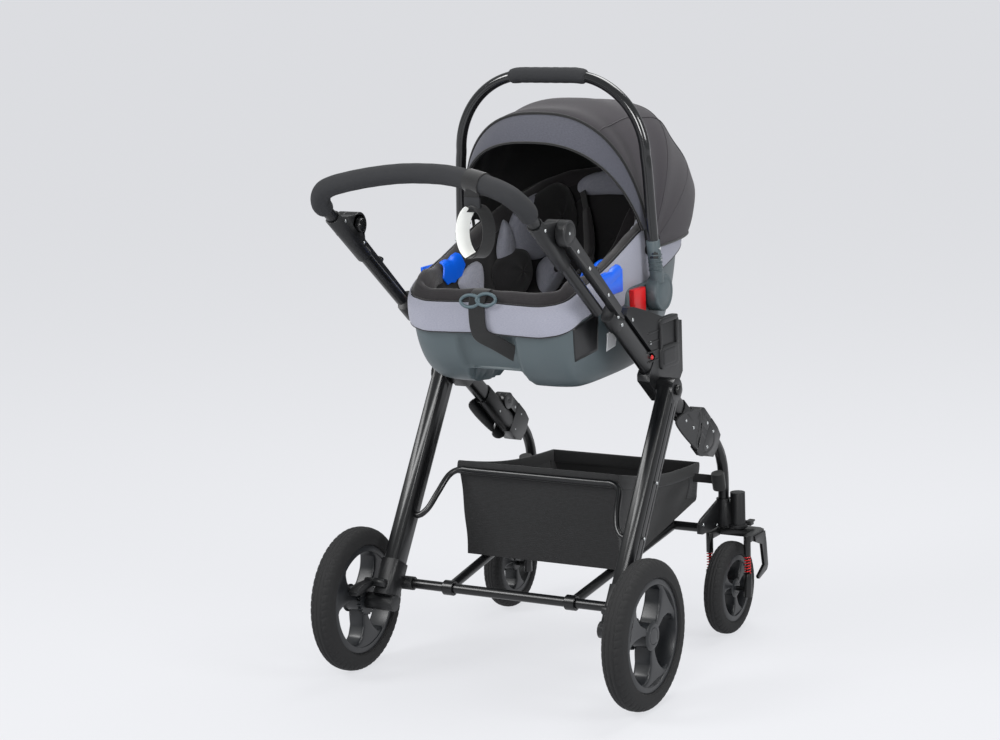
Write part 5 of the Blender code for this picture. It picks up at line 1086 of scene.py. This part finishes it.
def wall_pad(name, place, share, thick, material, base, bend=0.0, lean=0.0, power=2.6, taper=0.0):
    """Pad on the liner: a squircle outline in (place, share), height = thick * (1 - r^3)^0.6.

    'bend' curves the outline into a crescent, 'lean' shears it and 'taper' narrows its lower end.
    """
    turn = full_turn(64)[None, :]
    radius = np.concatenate([np.linspace(0.02, 1, 18), np.linspace(1, 0.02, 22)])[:, None]
    upper = np.concatenate([np.zeros(18), np.ones(22)])[:, None]
    u, v = (radius * value for value in squircle(turn, power))
    across = u * (1 - taper * v) + bend * (1 - v * v) + lean * v
    places = (place[0] + place[1]) / 2 + (place[1] - place[0]) / 2 * across
    shares = (share[0] + share[1]) / 2 + (share[1] - share[0]) / 2 * v
    puff = np.maximum(0, 1 - radius ** 3) ** 0.6 * (1 + 0.025 * np.sin(5 * turn))
    grid = liner_at(places, shares, base + upper * thick * puff)
    item = piece(name, "infant_seat", [surface(grid, around=True, caps=True)], material, 75)


def build_insert():
    """Grey and black pads on the liner, right and left alike."""
    wall_pad("back_pad", (0.405, 0.595), (0.10, 0.96), 0.022, black_knit, 0.003)
    wall_pad("head_panel", (0.430, 0.570), (-0.04, 0.17), 0.012, pad_grey, 0.010)
    for side, hand in SIDES:
        for name, low, high, share, thick, material, base, form in (
                ("hip_wing_", 0.186, 0.230, (0.18, 0.74), 0.016, pad_grey, 0.003,
                 {"taper": 0.75, "power": 2.0}),
                ("thigh_pad_", 0.060, 0.150, (0.10, 0.85), 0.013, black_knit, 0.003, {}),
                ("shoulder_fin_", 0.270, 0.304, (-0.02, 0.47), 0.016, pad_grey, 0.004,
                 {"taper": -0.5, "power": 1.9}),
                ("side_pad_", 0.250, 0.332, (0.34, 0.86), 0.034, black_knit, 0.003, {}),
                ("head_wing_", 0.304, 0.400, (-0.06, 0.58), 0.026, pad_grey, 0.006,
                 {"lean": 0.30 * hand, "bend": -0.15 * hand}),
                ("head_wing_inner_", 0.330, 0.432, (-0.06, 0.52), 0.040, black_knit, 0.010,
                 {"lean": 0.20 * hand, "bend": -0.10 * hand}),
                ("seat_wedge_", 0.350, 0.415, (0.58, 0.90), 0.030, pad_grey, 0.004, {}),
                ("seat_wedge_inner_", 0.362, 0.408, (0.64, 0.82), 0.035, black_knit, 0.004, {})):
            place = (low, high) if hand > 0 else (1 - high, 1 - low)
            wall_pad(name + side, place, share, thick, material, base, **form)


build_insert()

# Harness
# Black nylon webbing: two padded shoulder straps down to the crotch buckle, and the adjuster tail
# that runs out over the foot end's rim and hangs under the shell.


# Dull slate teal rings against the black strap.
ring_grey = solid_finish("moulded_acetal_slate_teal", "#4d5f66", 0.40, 0.0010, 0.00004, 0.04)


def ribbon(path, width, up=(0, 0, 1), count=60):
    """Flat strap along a curve."""
    return swept(smooth_line(path, count), box_section(0.0022, width, 5.0, 28), up)


def build_harness():
    """Adjuster tail and its two rings, buckle, shoulder straps and their pads."""
    top = float(rim_top(SEAT_FRONT))
    tail = [(x, *from_axle(along, z)) for x, along, z in
            ((0.088, 0.086, 0.598), (0.072, 0.060, 0.613), (0.048, 0.028, 0.638), (0.022, 0.000, 0.663),
             (0.002, -0.0145, 0.678), (-0.004, -0.0165, 0.690))]
    tail += [(-0.006, SEAT_FRONT + ahead, top + rise) for ahead, rise in
             ((-0.0052, -0.028), (-0.0054, -0.004), (0.001, 0.0130), (0.015, 0.0238), (0.032, 0.0215),
              (0.048, -0.002), (0.054, -0.028))]
    piece("adjuster_tail", "infant_seat", [ribbon(tail[::-1], 0.034, (1, 0, 0), 90)], webbing_black, 60,
          node="harness")

    turn = full_turn(60)
    rings = []
    for x, z in ((-0.021, top + 0.006), (0.013, top + 0.010)):
        ring = np.stack([x + 0.020 * np.cos(turn), SEAT_FRONT - 0.002 + 0.004 * np.sin(turn),
                         z + 0.0105 * np.sin(turn) * (1 - 0.15 * np.cos(turn) ** 4)], -1)
        rings.append(swept(ring, round_section(0.0031, 14), (0, 1, 0), closed=True))
    piece("adjuster_rings", "infant_seat", rings, ring_grey, 60)

    piece("crotch_buckle", "infant_seat",
          [rounded_block((-0.026, 0.221, 0.6625), (0.026, 0.267, 0.686), 4.0),
           rounded_block((-0.012, 0.230, 0.680), (0.012, 0.253, 0.6885), 4.0)], nylon_gloss, 50)
    shares = np.array([0.10, 0.24, 0.38, 0.52, 0.66, 0.80, 0.90])
    lifts = np.array([0.026, 0.034, 0.040, 0.042, 0.044, 0.048, 0.052])
    for side, hand in SIDES:
        places = 0.5 - hand * 0.062 + hand * np.linspace(0, 0.030, 7)
        tongue = [(hand * 0.024, *from_axle(0.298, 0.690)), (hand * 0.012, *from_axle(0.265, 0.680))]
        path = np.concatenate([liner_at(places, shares, lifts), tongue])
        piece("shoulder_strap_" + side, "infant_seat", [ribbon(path, 0.026)], webbing_black, 60)
        line = smooth_line(path, 60)[6:44]
        ends = np.sin(np.linspace(0.10, np.pi - 0.10, len(line))) ** 0.35
        pinch = np.stack([ends, 0.45 + 0.55 * ends], -1)[:, None]
        section = box_section(0.016, 0.052, 3.2, 36)[None] * pinch
        pad = piece("shoulder_strap_pad_" + side, "infant_seat", [swept(line, section)], lip_knit, 70)


build_harness()

# Belt guides
# Royal blue acetal hooks, moulded, one over each side of the rim: an outer plate with a flange and
# a leaf inside the rim, with room for a lap belt between them.

# The one blue accent: saturated and slightly glossy, with light along its rolled edges.
guide_blue = solid_finish("moulded_acetal_royal_blue", "#0562e6", 0.36, 0.0012, 0.00005, 0.05)


GUIDE_LEAVES = (("flange", ((0.1890, 0.758), (0.1912, 0.772), (0.1900, 0.780), (0.1835, 0.784)),
                 (0.036, 0.042, 0.040, 0.034)),
                ("inner", ((0.1600, 0.7935), (0.1500, 0.7890), (0.1462, 0.7740), (0.1455, 0.7500)),
                 (0.030, 0.034, 0.042, 0.026)))


def build_belt_guides():
    """Outer plate, its flange and the inner leaf: (x, z) knots carried along y to a half length."""
    y = np.linspace(-1, 1, 30)[None, :]
    for side, hand in SIDES:
        softened("belt_guide_" + side, "infant_seat", 0.0016, guide_blue, 30)
        for label, knots, reach in GUIDE_LEAVES:
            across = smooth_line(knots, 24)
            wide = np.interp(np.linspace(0, 1, 24), [0, 0.33, 0.66, 1], reach)[:, None]
            rise = 0.0060 * (y * wide / 0.035) - 0.004 * np.exp(-(y / 0.28) ** 2)
            grid = np.stack([hand * across[:, :1] + 0 * y, AXLE_Y + 0.140 + wide * y,
                             across[:, 1:] + rise], -1)
            name = "belt_guide_" + label + "_" + side
            leaf = piece(name, "infant_seat", [surface(grid)], guide_blue, 50)
            thicken(leaf, 0.0034, 0)
            edge = leaf.modifiers.new("rolled_edge", "BEVEL")
            edge.width = 0.0012
            edge.segments = 2


build_belt_guides()

# Carry handle
# A bent aluminium tube in gloss black under a short foam grip, pressed into two moulded slate hubs
# that turn on the shell's bosses; a red push button under each hub frees them.

# Hard narrow highlight down the arch, glossier than the chassis tubes.
gloss_tube = solid_finish("gloss_coated_aluminium_black", "#101113", 0.16, 0.0014, 0.00002, 0.03,
                          coat=0.6)


ARCH_BASE, ARCH_TOP = 0.800, 1.131
ARCH_CORNER, ARCH_RADIUS = 0.050, 0.150
GRIP_HALF = 0.084


def build_carry_handle():
    """Arch, grip, hubs with a turned face and ribbed sleeve, rivets and buttons."""
    turn = np.linspace(0, np.pi / 2, 26)
    shoulder = ARCH_TOP - ARCH_RADIUS
    right = [(0.211, ARCH_BASE - 0.012), (0.211, ARCH_BASE), (0.2075, (ARCH_BASE + shoulder) / 2 - 0.03),
             (0.2030, shoulder - 0.03)]
    right += [(ARCH_CORNER + ARCH_RADIUS * math.cos(a), shoulder + ARCH_RADIUS * math.sin(a))
              for a in turn]
    line = smooth_line(right + [(-x, z) for x, z in reversed(right)], 220)
    rise = np.clip((line[:, 1] - ARCH_BASE) / (ARCH_TOP - ARCH_BASE), 0, 1)
    path = np.stack([line[:, 0], HANDLE_PIVOT[0] - 0.0215 - 0.0085 * rise, line[:, 1]], -1)
    piece("carry_arch", "carry_handle", [swept(path, round_section(0.0104, 32), (0, 1, 0))], gloss_tube,
          node="carry_handle")

    held = path[(np.abs(path[:, 0]) < GRIP_HALF) & (path[:, 2] > 1.0)]
    radii = 0.0150 - 0.0045 * np.exp(-from_ends(held) / 0.8)
    wave = 1 + 0.012 * np.sin(np.arange(len(held)) * 1.3)
    piece("carry_foam_grip", "carry_handle",
          [swept(held, scaled(round_section(1.0, 36), radii * wave), (0, 1, 0))], foam_black, 60,
          node="carry_grip")

    face = ((0.0352, 0.0), (0.0345, 0.0014), (0.0315, 0.0020), (0.0300, 0.0008), (0.0262, 0.0008),
            (0.0250, 0.0018), (0.0100, 0.0024), (0.0002, 0.0024))
    rib = scaled(round_section(1.0, 28), (0.0128, 0.0140, 0.0140, 0.0128))
    for side, hand in SIDES:
        softened("handle_hub_" + side, "carry_handle", 0.0016, shell_plastic, 38)
        piece("hub_face_" + side, "carry_handle",
              [turned(face, (hand * 0.219, *HANDLE_PIVOT), 72, hand=hand)], shell_plastic)
        ribs = []
        for climb in 0.0075 * np.arange(5):
            at = np.array([hand * 0.2113, HANDLE_PIVOT[0] - 0.0165 - 0.11 * climb, 0.764 + climb])
            stretch = [at + np.array([0, 0, rise]) for rise in (-0.0014, -0.0007, 0.0007, 0.0014)]
            ribs.append(swept(stretch, rib, (0, 1, 0)))
        piece("hub_sleeve_ribs_" + side, "carry_handle", ribs, shell_plastic, 50)
        rivet_heads("handle_rivets_" + side, "carry_handle", 0.0030, hand,
                    [(0.2236, *from_axle(0.281, 0.806), 1), (0.2236, *from_axle(0.284, 0.786), 1)])
        softened("handle_button_" + side, "handle_button_" + side, 0.0022, button_red, 30)


build_carry_handle()

# Hood
# One shaped sheet of charcoal heather polyester over sprung hoops, lined in black, its front bow
# bound with black piping and carried on into a visor of the same cloth, painted lighter as a painted
# highlight; it is sewn to the cover at the head.

# Charcoal with a violet cast and fine heather mottling; folds read as soft shade.
hood_heather = woven("heather_polyester_charcoal", "#29262b", "#342f35", 0.0018, 0.0024, 0.00010,
                     0.1, 0.86, 0.12)
# The hood's own cloth on the strip in front of the piping, painted lighter as a painted highlight.
visor_painted_highlight = woven("heather_polyester_charcoal_painted_lighter", "#42434c", "#52535d", 0.0018, 0.0024, 0.00010,
                      0.1, 0.88, 0.12)
# Takes nearly all light, so that the hood's inside stays black.
lining_black = woven("polyester_lining_black", "#0d0d0e", "#131314", 0.0024, 0.0060, 0.00012,
                     0.05, 0.9, 0.3)

HOOD_PIVOT = from_axle(0.300, 0.800)
VISOR_LEAN, BOW_LEAN, REAR_LEAN = -28.0, -15.4, 90.0
BOW_GAP = 26.0
# The hood's hoops: lean in degrees, height above the pivot, half width, squareness.
HOOPS = np.array([(-28.0, 0.240, 0.1905, 2.5), (-15.4, 0.272, 0.1955, 2.5), (0.0, 0.276, 0.1950, 2.6),
                  (20.0, 0.296, 0.1925, 2.8), (37.0, 0.325, 0.1925, 3.0), (55.0, 0.344, 0.1925, 3.0),
                  (68.0, 0.368, 0.1925, 3.0), (75.0, 0.380, 0.1925, 3.0), (82.0, 0.356, 0.1910, 3.0),
                  (90.0, 0.318, 0.1880, 3.0)])


def hood_rows(leans, inset, sag=0.0, columns=120):
    """Superellipse hoops in planes that lean back from the pivot line; the cloth sags between bows."""
    spread = smooth_line(HOOPS * np.array([0.01, 1, 1, 0.1]), 400)
    grid = []
    for lean in leans:
        height, half, power = (np.interp(lean * 0.01, spread[:, 0], spread[:, k]) for k in (1, 2, 3))
        power *= 10
        past_bow = max(0.0, lean - BOW_LEAN)
        dip = sag * math.sin(math.pi * (past_bow / BOW_GAP % 1.0)) ** 2
        height, half = height - inset, half - inset
        start = math.asin((0.045 / height) ** (power / 2))
        angle = np.linspace(start, math.pi - start, columns)
        c, s = np.cos(angle), np.sin(angle)
        inward = dip * np.sin(np.linspace(0, np.pi, columns)) ** 0.5
        x = np.sign(c) * np.abs(c) ** (2 / power) * (half - inward)
        rise = s ** (2 / power) * (height - inward)
        tilt = math.radians(lean)
        y, z = HOOD_PIVOT[0] + rise * math.sin(tilt), HOOD_PIVOT[1] + rise * math.cos(tilt)
        grid.append(np.stack([x, y, z], -1))
    return np.array(grid)


def fold_with_bow(item):
    """Bake the piece's transform into its mesh; the cloth does not turn with the bow here."""
    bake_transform(item)


HOOD_CUT = (0.660, 0.540)
VISOR_CUT = (0.600, 0.053)
LINING_CUT = (0.660, 0.550)
HOOD_MIDDLE = np.array([0, AXLE_Y + 0.36, 0.86])


def build_hood():
    """Outer sheet, visor and lining, each with its wall; piping, panel seams and the front bow."""
    for name, grid, share, material, node, cut in (
            ("hood_cloth", hood_rows(np.linspace(BOW_LEAN, REAR_LEAN, 70), 0.0, 0.0035), 0.005, hood_heather,
             "canopy", HOOD_CUT),
            ("hood_visor", hood_rows(np.linspace(VISOR_LEAN, BOW_LEAN, 12), 0.0004), 0.005, visor_painted_highlight,
             None, VISOR_CUT),
            ("hood_lining", hood_rows(np.linspace(-27.0, 89.0, 60), 0.0060, 0.0045), 0.004, lining_black,
             None, LINING_CUT)):
        behind = grid - (grid - HOOD_MIDDLE) * share
        closed = np.concatenate([grid, behind[:, ::-1]], axis=1)
        sheet = piece(name, None, [surface(closed, around=True, caps=True)], material, 60, node)
        fold_with_bow(sheet)

    def over_hoop(lean, inset, section):
        """A line of piping or stitching over one hoop of the hood."""
        return swept(hood_rows([lean], inset, columns=140)[0], section, (0, 1, 0))

    lines = [over_hoop(lean, inset, round_section(radius, 14)) for lean, inset, radius in
             ((BOW_LEAN, -0.0008, 0.0030), (VISOR_LEAN, 0.0, 0.0022), (REAR_LEAN, 0.0, 0.0024))]
    fold_with_bow(piece("hood_piping", None, lines, webbing_black, 60))
    seams = [over_hoop(lean, -0.0002, box_section(0.0012, 0.0040, 2.5, 12)) for lean in (36.6, 62.6)]
    rows = hood_rows(np.linspace(BOW_LEAN, REAR_LEAN, 60), -0.0002, 0.0035)
    seams += [swept(rows[:, column], box_section(0.0014, 0.0034, 2.5, 12), (side, 0, 0))
              for side, column in ((-1, -37), (1, 36))]
    fold_with_bow(piece("hood_panel_seams", None, seams, hood_heather, 60))

    bow = bpy.data.objects["canopy_hoop"].data.materials
    bow.clear()
    bow.append(nylon)


build_hood()
